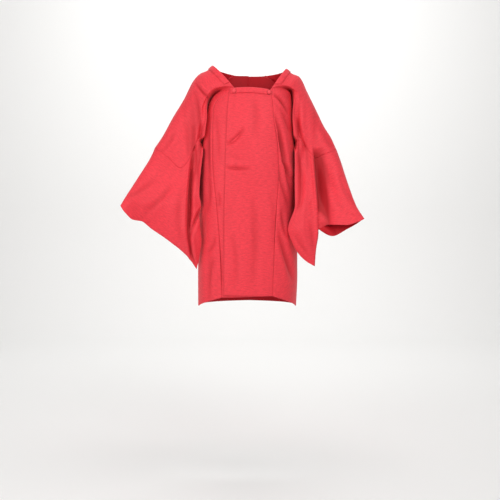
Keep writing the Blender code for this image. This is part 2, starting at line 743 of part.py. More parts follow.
def neck_band(side, material):
    """The folded edge from the front corner of the neck over the shoulder to the middle of the back."""
    _, shoulder, shoulder_back, back = body_grids(side)
    rows = slice(0, len(BAND_ACROSS))
    strips = (shoulder[rows], shoulder_back[rows, ::-1][:, 1:], back[rows, ::-1][:, 1:])
    grid = moved_out(np.concatenate(strips, axis=1), STACK)[:, BAND_STARTS:]
    return sheet(f"neck_band_{side}", (inset(grid, -1),), material)


def front_band_point(share, down):
    """A place on the upper overlap, below its top edge."""
    x, _, z = overlap_point("left", share, 0)
    return front_point(x, z - down, FRONT_LAYER)


def front_band(material):
    grid = [[front_band_point(share, down) for share in FRONT_BAND_SHARES] for down in BAND_ACROSS]
    return sheet("neck_band_front", (moved_out(grid, STACK),), material)


def button(side, material):
    """A covered button on a corner of the neck band."""
    share = BUTTON_SHARES[side]
    place = front_band_point(share, BUTTON_DROP)
    across = front_band_point(share + SMALL_STEP, BUTTON_DROP) - place
    down = front_band_point(share, BUTTON_DROP + MM) - place
    out = Vector(unit(np.cross(down, across)))
    profile = [(x * BUTTON_DIAMETER / 2, 0, z * BUTTON_THICKNESS) for x, z in BUTTON_PROFILE]
    data = bpy.data.meshes.new(f"button_{side}")
    data.from_pydata(profile, [(i, i + 1) for i in range(len(profile) - 1)], [])
    piece = bpy.data.objects.new(f"button_{side}", data)
    bpy.data.collections[NAME].objects.link(piece)
    data.materials.append(material)
    turn = piece.modifiers.new("turned", "SCREW")
    turn.steps = turn.render_steps = BUTTON_STEPS
    turn.use_merge_vertices = True
    turn.merge_threshold = MERGE
    turn.use_smooth_shade = True
    piece.location = Vector(place) + out * (STACK + WALL / 2 + BUTTON_GAP)
    piece.rotation_euler = out.to_track_quat("Z", "Y").to_euler()
    return piece


def material(name, colour):
    made = bpy.data.materials.new(name)
    made.use_nodes = True
    shader = made.node_tree.nodes["Principled BSDF"]
    shader.inputs["Base Color"].default_value = colour
    shader.inputs["Roughness"].default_value = ROUGHNESS
    shader.inputs["Metallic"].default_value = 0.0
    return made


def main():
    for thing in list(bpy.data.objects):
        bpy.data.objects.remove(thing, do_unlink=True)
    bpy.context.scene.collection.children.link(bpy.data.collections.new(NAME))
    crepe = material("red silk crepe", RED)
    for side in ("right", "left"):
        body(side, crepe)
        sleeve(side, crepe)
        overlap(side, crepe)
        gore(side, crepe)
        neck_band(side, crepe)
        button(side, crepe)
    front_band(crepe)


main()
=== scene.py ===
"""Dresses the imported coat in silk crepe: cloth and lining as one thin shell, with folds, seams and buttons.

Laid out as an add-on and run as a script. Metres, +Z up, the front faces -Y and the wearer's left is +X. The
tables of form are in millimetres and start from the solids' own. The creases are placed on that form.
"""

import bpy
import numpy as np
from bpy.props import FloatProperty, FloatVectorProperty, PointerProperty
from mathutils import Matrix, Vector


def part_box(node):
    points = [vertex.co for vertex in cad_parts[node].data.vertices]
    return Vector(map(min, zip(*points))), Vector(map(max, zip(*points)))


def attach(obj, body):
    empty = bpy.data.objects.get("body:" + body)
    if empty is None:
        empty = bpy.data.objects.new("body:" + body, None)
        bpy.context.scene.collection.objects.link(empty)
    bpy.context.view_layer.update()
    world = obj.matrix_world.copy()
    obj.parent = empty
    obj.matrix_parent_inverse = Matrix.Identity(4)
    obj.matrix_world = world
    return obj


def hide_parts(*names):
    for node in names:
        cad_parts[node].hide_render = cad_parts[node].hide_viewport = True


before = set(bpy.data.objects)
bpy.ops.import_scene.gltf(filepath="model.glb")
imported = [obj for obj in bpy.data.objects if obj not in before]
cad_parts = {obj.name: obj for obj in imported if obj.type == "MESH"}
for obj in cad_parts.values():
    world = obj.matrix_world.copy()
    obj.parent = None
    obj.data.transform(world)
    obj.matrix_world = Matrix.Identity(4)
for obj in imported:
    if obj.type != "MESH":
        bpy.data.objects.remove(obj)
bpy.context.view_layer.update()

bl_info = {
    "name": "Silk crepe coat",
    "version": (1, 0, 0),
    "blender": (4, 5, 0),
    "location": "3D View > Sidebar > Coat",
    "description": "Square-necked silk crepe kimono coat with folds, seams, lining and covered buttons",
    "category": "Object",
}

MM = 0.001
SIDES = ("right", "left")
FACES = ("front", "back")

# Form of the body, in four quarters: right and left, front and back
RING_POWER = 2.5            # of the body's level rings, where 2 is an ellipse
RING_STEPS = 48
FRONT_LAYER = 5 * MM        # the left front lies this far over the right one
LAYER_FADES = (0.45, 0.85)  # and comes back to the ring between these shares of its quarter
NECK_RISE = 5 * MM          # rise of the overlaps' top edge in its middle
FOLD_ENDS = 0.3             # share of a body fold over which each end dies out
SEAM_EASES = 0.1            # share of a seam over which it eases into its line
HIDDEN_EDGE_INSET = 14 * MM
SIDE_HEM = -805 * MM
BACK_HEM = -800 * MM
BACK_BAND = 38 * MM         # height of the back's first rows below the neck
BACK_BAND_SHARE = 3 / 23    # and their share of its inner line
SHOULDER_SHARE = 10 / 23    # share of an inner line that faces the wing
BODY_FADE = 10 * MM         # creases die out over this width beside the fold to the arm

# Form of a wing, the cloth over one arm. Rows are its b, from -1 at the neck through 0 at the armhole to 1.
EDGE_STEPS = 24
SEWN_SPREAD = 110 * MM      # full depth is reached this far from a sewn edge
SEWN_HALF = 1.35 * MM       # least half depth where it isn't sewn
ROOM_LEFT = 0.4             # share of its half depth that the folds leave free
FOLD_ROOM = 5.4 * MM        # and the cloth's own room
FOLD_FLOOR = 3 * MM         # the fold beside the body: its floor, and the slope up from it
FOLD_MOUTH = 8 * MM
FOLD_FADES = 0.08           # rows of the sleeve over which it dies out
CLEARING = (0.06, 0.16)     # rows over which the sleeve comes free of the body
CLEARING_POWER = 24
ARM_CLEARANCE = 2.6 * MM
FRONT_CLEARANCE = 1.4 * MM  # more for its front
LEAST_AWAY = 0.2            # from the body's axis, as a share of the ring
LEAN = {"right": 17 * MM, "left": 12 * MM}   # the front rim leans this far over the fold beside the body
LEAN_STARTS = -0.62         # row where that starts, and rows over which it grows and dies out
LEAN_GROWS = 0.3
LEAN_FADES = 0.12
LEAN_KEPT = 14 * MM         # away from the fold it dies out past the first width, over the second
LEAN_ENDS = 55 * MM
STRAIGHT = 30.0             # creases draw a wing in almost straight towards its other layer
SHARE_OF_GAP = 0.5          # and take at most this share of the room between the layers
WING_FADE = 12 * MM         # beside the fold they die out over this width
ARMHOLE_SHARE = 0.45        # the armhole seam is pressed flatter than the others

# The fold beside the body is drawn in deeper on the front: its depth from the neck to the armpit
VALLEY = ((0.0, 0.2, 0.45, 0.9, 1.0), (0.0, 3 * MM, 13 * MM, 14 * MM, 8 * MM))
VALLEY_WIDTH = {"body": 13 * MM, "wing": 9 * MM}
VALLEY_ENDS = 6             # rows below the armpit over which it dies out

# Neck bands
BAND_WIDTH = 18 * MM
BAND_STEPS = 60
BAND_BACK_STEPS = 40
BAND_ACROSS_STEPS = 10
BAND_STARTS = {"front": 0.28, "back": 0.0}   # share of a wing's neck edge where its band starts
BAND_ROWS = np.linspace(-1, -0.6, 41)        # rows of the wing among which the band's width is looked up
BAND_ENDS = (0.02, 0.96)    # shares of the upper overlap's top edge between which the front band lies
BAND_STAND = 2.0 * MM       # its edge lies this far off the middle of the panel under it
BAND_SWELL = 1.4 * MM       # and its middle swells this much more
CHEST = np.array([0, 0, -0.2])               # the side bands face away from this place

# Creases and waves
CREASE_POINTS = 13
CREASE_TAPER = 0.7          # below 1, a crease keeps its depth longer towards its ends
LIP_HEIGHT = 0.3            # the cloth beside a crease stands out by this share of its depth
LIP_AT = 2.0                # at this many of its widths
# Waves: their length, how far they bend, that bend's length and shift, and the waves' own shift and share
WAVES = ((0.017, 1.3, 0.083, 1.0, 1.0, 1.0), (0.0096, -1.7, 0.061, 2.0, 2.1, 0.7))
WAVES_TURN = 0.5            # how far they run on over the sides
CALM = (0.119, 0.071, 3.3)  # lengths down and across, and shift, of the calmer stretches between waves
WAVE_SEEDS = {"body": (1.0, 0.4), "wing": (2.0, 0.3), "overlap": (3.0, 1.0), "gore": (4.0, 1.0)}

# Grid of the outer cloth
SHOULDER_STEPS = 80
TORSO_STEPS = 104
SLEEVE_STEPS = 112
WING_STEPS = 104
PANEL_STEPS = {"front": 44, "back": 52}
OVERLAP_STEPS = 52
GORE_STEPS = 14
LINES_CROWD = 0.7           # how much the fall lines crowd at the body and at the ridge
WELD = 0.02 * MM            # places closer than this become one

UNSCALED = {"station", "around", "loss", "line", "start", "full", "fade", "stop"}


def table(columns, *rows):
    """A dictionary of columns; lengths come in as millimetres and go out as metres."""
    names = columns.split()
    values = np.array(rows, float).T
    return {name: column * (1 if name in UNSCALED else MM) for name, column in zip(names, values)}


def tables(columns, rows_of):
    """A table for each place of the coat, with the same columns."""
    return {place: table(columns, *rows) for place, rows in rows_of.items()}


def each_row(rows):
    """The rows of a table, as tuples."""
    return zip(*rows.values())


# Body: half width on each side and the depth to the front and the back, by height
TORSO = table(
    "z     right  left  front  back",
    (-820, 170, 160, 125, 128),
    (-700, 170, 165, 126, 129),
    (-620, 169, 165, 128, 131),
    (-470, 167, 162, 131, 130),
    (-340, 163, 159, 131, 124),
    (-255, 154, 153, 128, 120),
    (-185, 146, 149, 122, 118),
    (-135, 138, 148, 113, 117),
    (-110, 128, 147, 108, 116),
    (-85, 115, 146, 103, 112),
    (0, 112, 120, 95, 104),
)
GORE = table("z half", (-810, 36), (-262, 17))

SEAM_OF_LOWER_OVERLAP = table(
    "station x z",
    (0.00, -50, -90),
    (0.06, -73, -110),
    (0.12, -108, -130),
    (0.18, -117, -162),
    (0.30, -119, -236),
    (0.45, -117, -350),
    (0.60, -106, -456),
    (0.80, -93, -622),
    (1.00, -87, -772),
)
EDGE_OF_UPPER_OVERLAP = table(
    "station x z",
    (0.00, -60, -90),
    (0.10, -68, -150),
    (0.40, -76, -363),
    (0.70, -80, -561),
    (1.00, -80, -764),
)
SEAM_OF_UPPER_OVERLAP = table(
    "station x z",
    (0.00, 70, -94),
    (0.06, 79, -128),
    (0.16, 83, -185),
    (0.30, 96, -280),
    (0.45, 99, -370),
    (0.60, 92, -480),
    (0.80, 84, -630),
    (1.00, 79, -767),
)

# The fold between body and wing, from the corner of the neck to the armpit
FOLD_TO_ARM = tables("station around z", {
    ("right", "front"): (
        (0.00, 0.26, -86), (0.12, 0.36, -86), (0.24, 0.57, -89), (0.36, 0.73, -103), (0.48, 0.805, -135),
        (0.72, 0.855, -195), (1.00, 0.895, -262)),
    ("left", "front"): (
        (0.00, 0.36, -91), (0.12, 0.44, -84), (0.24, 0.60, -81), (0.36, 0.80, -86), (0.48, 0.87, -120),
        (0.72, 0.89, -190), (1.00, 0.91, -262)),
    ("right", "back"): (
        (0.00, 0.26, -10), (0.24, 0.44, -30), (0.48, 0.64, -90), (0.72, 0.80, -165), (1.00, 0.91, -262)),
    ("left", "back"): (
        (0.00, 0.26, -12), (0.24, 0.44, -30), (0.48, 0.64, -90), (0.72, 0.80, -165), (1.00, 0.91, -262)),
})

RIDGE_OF_SHOULDER = tables("station x z", {
    "right": (
        (0.00, -121, 1), (0.07, -139, -14), (0.14, -164, -24), (0.24, -188, -51), (0.42, -216, -107),
        (0.64, -255, -173), (0.87, -291, -240), (1.00, -314, -275)),
    "left": (
        (0.00, 127, -9), (0.07, 145, -23), (0.15, 171, -34), (0.35, 199, -88), (0.55, 229, -149),
        (0.74, 254, -203), (0.87, 277, -240), (1.00, 295, -281)),
})
RIDGE_OF_SLEEVE = tables("station x z", {
    "right": (
        (0.0, -314, -275), (0.15, -325, -303), (0.6, -368, -383), (1.0, -412, -472)),
    "left": (
        (0.0, 295, -281), (0.25, 312, -337), (0.7, 341, -441), (0.85, 353, -477), (1.0, 373, -515)),
})
ARMHOLE = tables("station x z", {
    ("right", "front"): (
        (0.00, -146, -262), (0.08, -159, -256), (0.20, -178, -288), (0.30, -197, -325), (0.42, -220, -346),
        (0.65, -262, -313), (1.00, -314, -275)),
    ("left", "front"): (
        (0.00, 147, -262), (0.08, 162, -255), (0.20, 184, -274), (0.40, 221, -312), (0.52, 240, -303),
        (0.75, 272, -293), (1.00, 295, -281)),
    ("right", "back"): (
        (0.00, -146, -262), (0.08, -164, -262), (0.30, -190, -292), (0.65, -250, -305), (1.00, -314, -275)),
    ("left", "back"): (
        (0.00, 147, -262), (0.08, 165, -262), (0.40, 212, -300), (0.75, 262, -300), (1.00, 295, -281)),
})
INNER_EDGE = tables("station x z", {
    ("right", "front"): (
        (0.00, -144, -262), (0.08, -142, -292), (0.32, -154, -396), (0.42, -156, -436), (0.51, -149, -472),
        (0.58, -158, -501), (0.66, -157, -533), (0.78, -151, -584), (0.89, -158, -632), (1.00, -171, -680)),
    ("left", "front"): (
        (0.00, 147, -262), (0.20, 146, -354), (0.47, 148, -469), (0.66, 126, -548), (0.76, 140, -588),
        (0.86, 165, -630), (0.94, 192, -655), (1.00, 217, -669)),
    ("right", "back"): (
        (0.00, -146, -262), (0.18, -164, -336), (0.38, -163, -419), (0.52, -152, -476), (0.64, -161, -525),
        (0.76, -155, -575), (0.89, -160, -632), (1.00, -171, -680)),
    ("left", "back"): (
        (0.00, 147, -262), (0.20, 164, -354), (0.47, 162, -469), (0.66, 126, -548), (0.76, 140, -588),
        (0.86, 165, -630), (0.94, 192, -655), (1.00, 217, -669)),
})
SEWN_STARTS = {"right": 0.52, "left": 0.66}
BOTTOM = tables("station x z", {
    ("right", "front"): (
        (0.00, -171, -680), (0.30, -198, -642), (0.40, -230, -611), (0.52, -275, -576), (0.64, -322, -543),
        (0.72, -346, -523), (0.82, -372, -518), (0.92, -393, -498), (1.00, -412, -472)),
    ("left", "front"): (
        (0.00, 217, -669), (0.15, 219, -633), (0.30, 224, -580), (0.38, 229, -548), (0.44, 240, -543),
        (0.54, 262, -534), (0.72, 314, -535), (0.88, 350, -525), (1.00, 373, -515)),
    ("left", "back"): (
        (0.00, 217, -669), (0.15, 219, -633), (0.30, 224, -580), (0.38, 229, -548), (0.46, 250, -562),
        (0.54, 274, -571), (0.72, 322, -548), (0.88, 353, -530), (1.00, 373, -515)),
})
BOTTOM["right", "back"] = BOTTOM["right", "front"]
CUFF_STARTS = {"right": 0.64, "left": 0.38}

WING = table(
    "across front back middle",
    (40, 99, 104, 0),
    (100, 96, 98, 0),
    (150, 82, 74, 0),
    (200, 62, 62, -2),
    (260, 50, 50, -10),
    (320, 44, 44, -24),
    (430, 38, 38, -80),
)
HANG = tables("z loss forward", {
    "right": (
        (-680, 0.50, 66), (-580, 0.45, 84), (-470, 0.35, 72), (-370, 0.15, 20), (-250, 0, 0), (-200, 0, 0)),
    "left": (
        (-680, 0.55, 96), (-560, 0.50, 108), (-460, 0.35, 68), (-370, 0.15, 22), (-250, 0, 0), (-200, 0, 0)),
})
WING_FOLDS = tables("line floor inner outer depth start full fade stop", {
    ("right", "front"): (
        (0.28, 2, 20, 10, 6, -0.05, 0.35, 0.62, 0.95),
        (0.17, 2, 14, 16, 7, -0.95, -0.50, 0.00, 0.40)),
    ("left", "front"): (
        (0.50, 3, 16, 36, 3, 0.00, 0.85, 2.00, 3.00),
        (0.17, 2, 14, 16, 9, -0.80, -0.40, 0.20, 0.70)),
    ("right", "back"): (
        (0.22, 2, 22, 24, 16, -0.60, 0.10, 0.60, 0.95),
        (0.52, 2, 24, 30, 14, -0.20, 0.30, 0.60, 0.90)),
    ("left", "back"): (
        (0.24, 2, 22, 24, 12, -0.60, 0.10, 0.50, 0.90),
        (0.54, 2, 24, 26, 7, 0.10, 0.70, 2.00, 3.00)),
})
BODY_FOLDS = tables("x0 z0 x1 z1 mouth depth", {
    ("left", "front"): (
        (96, -190, 138, -420, 16, 6),
        (92, -500, 150, -740, 22, 6)),
    ("right", "front"): (
        (128, -560, 140, -700, 18, 4),),
    ("left", "back"): (
        (60, -120, 95, -700, 30, 7),),
    ("right", "back"): (
        (55, -160, 90, -690, 30, 7),),
})

# Creases: a smooth line through three places seen from the front (x, z), how wide the crease is on the side
# towards the body's middle and on the other side, and its depth
CREASES = tables("x0 z0 x1 z1 x2 z2 near far depth", {
    ("wing", "right", "front"): (
        (-176, -60, -154, -92, -126, -122, 4, 6, 6.5),
        (-184, -110, -186, -220, -190, -340, 24, 16, 4.0),
        (-204, -180, -198, -280, -209, -370, 6, 9, 2.6),
        (-180, -80, -158, -205, -161, -300, 5, 8, 4.0),
        (-159, -230, -160, -300, -174, -372, 5, 7, 4.0),
        (-214, -120, -212, -200, -206, -300, 9, 12, 2.2),
        (-146, -470, -174, -514, -190, -576, 7, 4, 8.0),
        (-199, -510, -192, -612, -177, -672, 7, 4, 10.0),
        (-240, -215, -262, -260, -300, -300, 8, 10, 2.6),
        (-250, -400, -290, -455, -336, -500, 8, 12, 3.4),
        (-215, -400, -226, -500, -222, -590, 9, 12, 2.6),
        (-172, -296, -168, -380, -160, -456, 6, 8, 2.4),
        (-185, -296, -195, -440, -198, -596, 8, 5, 13.0),
        (-184, -200, -184, -262, -187, -340, 7, 6, 3.0),
        (-178, -260, -182, -400, -190, -560, 14, 12, 4.0),
        (-205, -620, -188, -640, -180, -665, 6, 8, 2.0),
        (-300, -380, -345, -420, -395, -452, 8, 10, 2.6),
    ),
    ("wing", "left", "front"): (
        (172, -100, 164, -220, 173, -372, 5, 7, 4.6),
        (218, -280, 229, -430, 236, -620, 5, 30, 25.0),
        (190, -240, 194, -310, 192, -376, 8, 9, 3.6),
        (214, -110, 222, -190, 218, -290, 9, 12, 2.2),
        (162, -290, 172, -400, 164, -500, 6, 8, 4.0),
        (256, -330, 275, -420, 300, -512, 8, 12, 3.8),
        (238, -200, 262, -250, 290, -300, 8, 10, 2.6),
        (300, -370, 322, -430, 352, -482, 7, 10, 3.4),
        (284, -466, 310, -490, 350, -506, 6, 8, 3.0),
        (164, -180, 172, -230, 196, -300, 5, 8, 3.4),
        (150, -560, 170, -600, 205, -640, 7, 9, 2.4),
        (200, -520, 208, -580, 214, -630, 6, 8, 2.2),
    ),
    ("wing", "right", "back"): (
        (-140, -40, -170, -130, -186, -250, 9, 12, 3.0),
        (-230, -150, -235, -260, -222, -380, 10, 14, 2.8),
        (-185, -320, -190, -420, -178, -540, 8, 11, 3.4),
        (-280, -280, -300, -380, -330, -480, 10, 13, 2.4),
        (-250, -420, -245, -520, -215, -610, 9, 12, 2.8),
        (-340, -360, -360, -420, -398, -460, 8, 10, 1.8),
    ),
    ("wing", "left", "back"): (
        (146, -52, 172, -140, 184, -262, 9, 12, 3.0),
        (226, -160, 230, -270, 220, -390, 10, 13, 2.8),
        (190, -330, 196, -430, 170, -540, 8, 11, 3.2),
        (262, -300, 290, -400, 312, -520, 10, 13, 2.4),
        (240, -440, 236, -520, 228, -570, 8, 11, 2.4),
    ),
    ("body", "right", "front"): (
        (-126, -170, -132, -260, -128, -380, 5, 8, 4.6),
        (-133, -370, -128, -430, -134, -500, 6, 8, 3.0),
        (-108, -560, -116, -600, -136, -630, 6, 8, 2.8),
        (-112, -640, -128, -700, -126, -790, 7, 10, 3.2),
        (-140, -420, -146, -520, -150, -640, 8, 10, 2.0),
    ),
    ("body", "left", "front"): (
        (82, -110, 110, -134, 130, -172, 5, 7, 6.0),
        (84, -170, 104, -250, 122, -330, 4, 8, 5.5),
        (96, -232, 113, -321, 138, -430, 4, 8, 7.5),
        (108, -480, 114, -536, 130, -580, 5, 8, 4.2),
        (92, -330, 104, -390, 132, -470, 5, 8, 3.6),
        (99, -560, 120, -640, 148, -720, 7, 10, 5.2),
        (104, -150, 122, -195, 138, -236, 6, 8, 3.2),
        (108, -322, 122, -348, 146, -392, 4, 7, 5.5),
    ),
    ("body", "right", "back"): (
        (-30, -60, -70, -150, -112, -230, 10, 14, 2.6),
        (-90, -240, -84, -420, -100, -640, 12, 16, 3.0),
        (-130, -300, -128, -450, -138, -620, 10, 13, 2.6),
        (-40, -420, -48, -560, -44, -760, 12, 16, 2.4),
    ),
    ("body", "left", "back"): (
        (26, -70, 62, -150, 108, -226, 10, 14, 2.6),
        (84, -250, 96, -420, 88, -660, 12, 16, 3.0),
        (132, -310, 136, -460, 130, -640, 10, 13, 2.6),
        (34, -380, 30, -540, 46, -740, 12, 16, 2.2),
    ),
    ("overlap", "left", "front"): (
        (-74, -270, -44, -256, -10, -216, 5, 9, 5.5),
        (-75, -350, -40, -353, 10, -356, 5, 7, 5.0),
        (-72, -300, -40, -318, -12, -326, 7, 9, 1.2),
        (72, -420, 84, -520, 74, -640, 9, 11, 1.6),
        (-60, -560, -40, -640, -46, -740, 10, 12, 2.6),
        (12, -440, 20, -580, 14, -740, 12, 14, 2.8),
        (10, -120, 24, -180, 14, -260, 12, 14, 2.4),
    ),
    ("overlap", "right", "front"): (
        (-98, -426, -97, -452, -97, -482, 6, 8, 3.0),
        (-112, -170, -100, -260, -104, -340, 7, 9, 1.8),
        (-96, -600, -88, -680, -86, -740, 7, 9, 1.6),
    ),
})


def smooth(t):
    """0 to 1 with level ends."""
    t = np.clip(t, 0.0, 1.0)
    return t * t * (3 - 2 * t)


def spline(knots, values, at):
    """A smooth curve through the values that never swings past them."""
    if knots[0] > knots[-1]:
        knots, values = knots[::-1], values[::-1]
    at = np.clip(at, knots[0], knots[-1])
    step = np.diff(knots)
    slope = np.diff(values) / step
    tangent = np.concatenate(([slope[0]], np.zeros(len(knots) - 2), [slope[-1]]))
    for i in range(1, len(knots) - 1):
        if slope[i - 1] * slope[i] > 0:
            tangent[i] = 2 * slope[i - 1] * slope[i] / (slope[i - 1] + slope[i])
    i = np.clip(np.searchsorted(knots, at) - 1, 0, len(step) - 1)
    t = (at - knots[i]) / step[i]
    return (values[i] * (1 + 2 * t) * (1 - t) ** 2 + values[i + 1] * t * t * (3 - 2 * t)
            + step[i] * t * (1 - t) * (tangent[i] * (1 - t) - tangent[i + 1] * t))


def along(rows, at):
    """The x and z of a table of stations, as the last axis of an array."""
    return np.stack((spline(rows["station"], rows["x"], at), spline(rows["station"], rows["z"], at)), -1)


def sign(side):
    return -1 if side == "right" else 1


def facing(face):
    return -1 if face == "front" else 1


def unit(vectors):
    return vectors / np.maximum(np.linalg.norm(vectors, axis=-1, keepdims=True), 1e-9)


def gaps_to(line, places):
    """Shortest ways to the places from each stretch of a line of points, and how far along it they start."""
    start, run = line[:-1], np.diff(line, axis=0)
    offset = places[..., None, :] - start
    share = np.clip((offset * run).sum(-1) / (run ** 2).sum(-1), 0, 1)
    return offset - share[..., None] * run, share


def distance_to(line, places):
    """Distances from places to a line of points."""
    return np.linalg.norm(gaps_to(line, places)[0], axis=-1).min(-1)


def between(a, u, top, bottom, left, right, corners):
    """Places inside four edges: a runs from 0 at the left to 1, and u from 0 at the top to 1."""
    top_left, top_right, bottom_left, bottom_right = corners
    return ((1 - u) * top + u * bottom + (1 - a) * left + a * right
            - (1 - a) * (1 - u) * top_left - a * (1 - u) * top_right
            - (1 - a) * u * bottom_left - a * u * bottom_right)


TURN = np.linspace(0, np.pi / 2, RING_STEPS + 1)


def quarter(side, face, z):
    """Points of the body's level rings at heights z: x, y and the share of the quarter's length."""
    half = spline(TORSO["z"], TORSO[side], z)[..., None]
    depth = spline(TORSO["z"], TORSO[face], z)[..., None]
    x = half * np.sin(TURN) ** (2 / RING_POWER)
    y = depth * np.cos(TURN) ** (2 / RING_POWER)
    length = np.cumsum(np.hypot(np.diff(x), np.diff(y)), axis=-1)
    length = np.concatenate((np.zeros_like(half), length), -1)
    return x, y, length / length[..., -1:]


def read_off(values, keys, at):
    """Values along the last axis where its rising keys reach each number."""
    i = np.clip((keys < at[..., None]).sum(-1) - 1, 0, keys.shape[-1] - 2)[..., None]
    low, high = np.take_along_axis(keys, i, -1)[..., 0], np.take_along_axis(keys, i + 1, -1)[..., 0]
    first = np.take_along_axis(values, i, -1)[..., 0]
    last = np.take_along_axis(values, i + 1, -1)[..., 0]
    return first + (last - first) * np.clip((at - low) / np.maximum(high - low, 1e-9), 0, 1)


def body_fold(side, face, x, z):
    """How far the body's large folds move the cloth, which is inwards."""
    moved = np.zeros_like(x)
    for x0, z0, x1, z1, mouth, depth in each_row(BODY_FOLDS[side, face]):
        run = np.array([x1 - x0, z1 - z0])
        share = ((x - x0) * run[0] + (z - z0) * run[1]) / np.dot(run, run)
        away = np.hypot(x - x0 - share * run[0], z - z0 - share * run[1])
        ends = smooth(share / FOLD_ENDS) * smooth((1 - share) / FOLD_ENDS)
        moved -= depth * ends * (1 - smooth(away / mouth))
    return moved


def ring_point(side, face, around, z, lift=0.0):
    """Places on the body's rings: around is 0 at the middle of the front or back and 1 at the side."""
    around, z = np.broadcast_arrays(np.asarray(around, float), np.asarray(z, float))
    xs, ys, share = quarter(side, face, z)
    x, y = read_off(xs, share, around), read_off(ys, share, around)
    y = y + lift * (1 - smooth((around - LAYER_FADES[0]) / (LAYER_FADES[1] - LAYER_FADES[0])))
    y = y + body_fold(side, face, x, z)
    return np.stack((sign(side) * x, facing(face) * y, z), -1)


def around_at_x(side, face, x, z):
    xs, _, share = quarter(side, face, z)
    return read_off(share, xs, np.abs(x))


def around_at_depth(side, face, y, z):
    _, ys, share = quarter(side, face, z)
    return read_off(share, -ys, -np.abs(y))


def lift_of(side, face):
    return FRONT_LAYER if (side, face) == ("left", "front") else 0.0


def fold_place(side, face, station):
    rows = FOLD_TO_ARM[side, face]
    return spline(rows["station"], rows["around"], station), spline(rows["station"], rows["z"], station)


def fold_to_arm(side, face, station):
    """The floor of the fold between body and wing."""
    around, z = fold_place(side, face, station)
    return ring_point(side, face, around, z, lift_of(side, face))


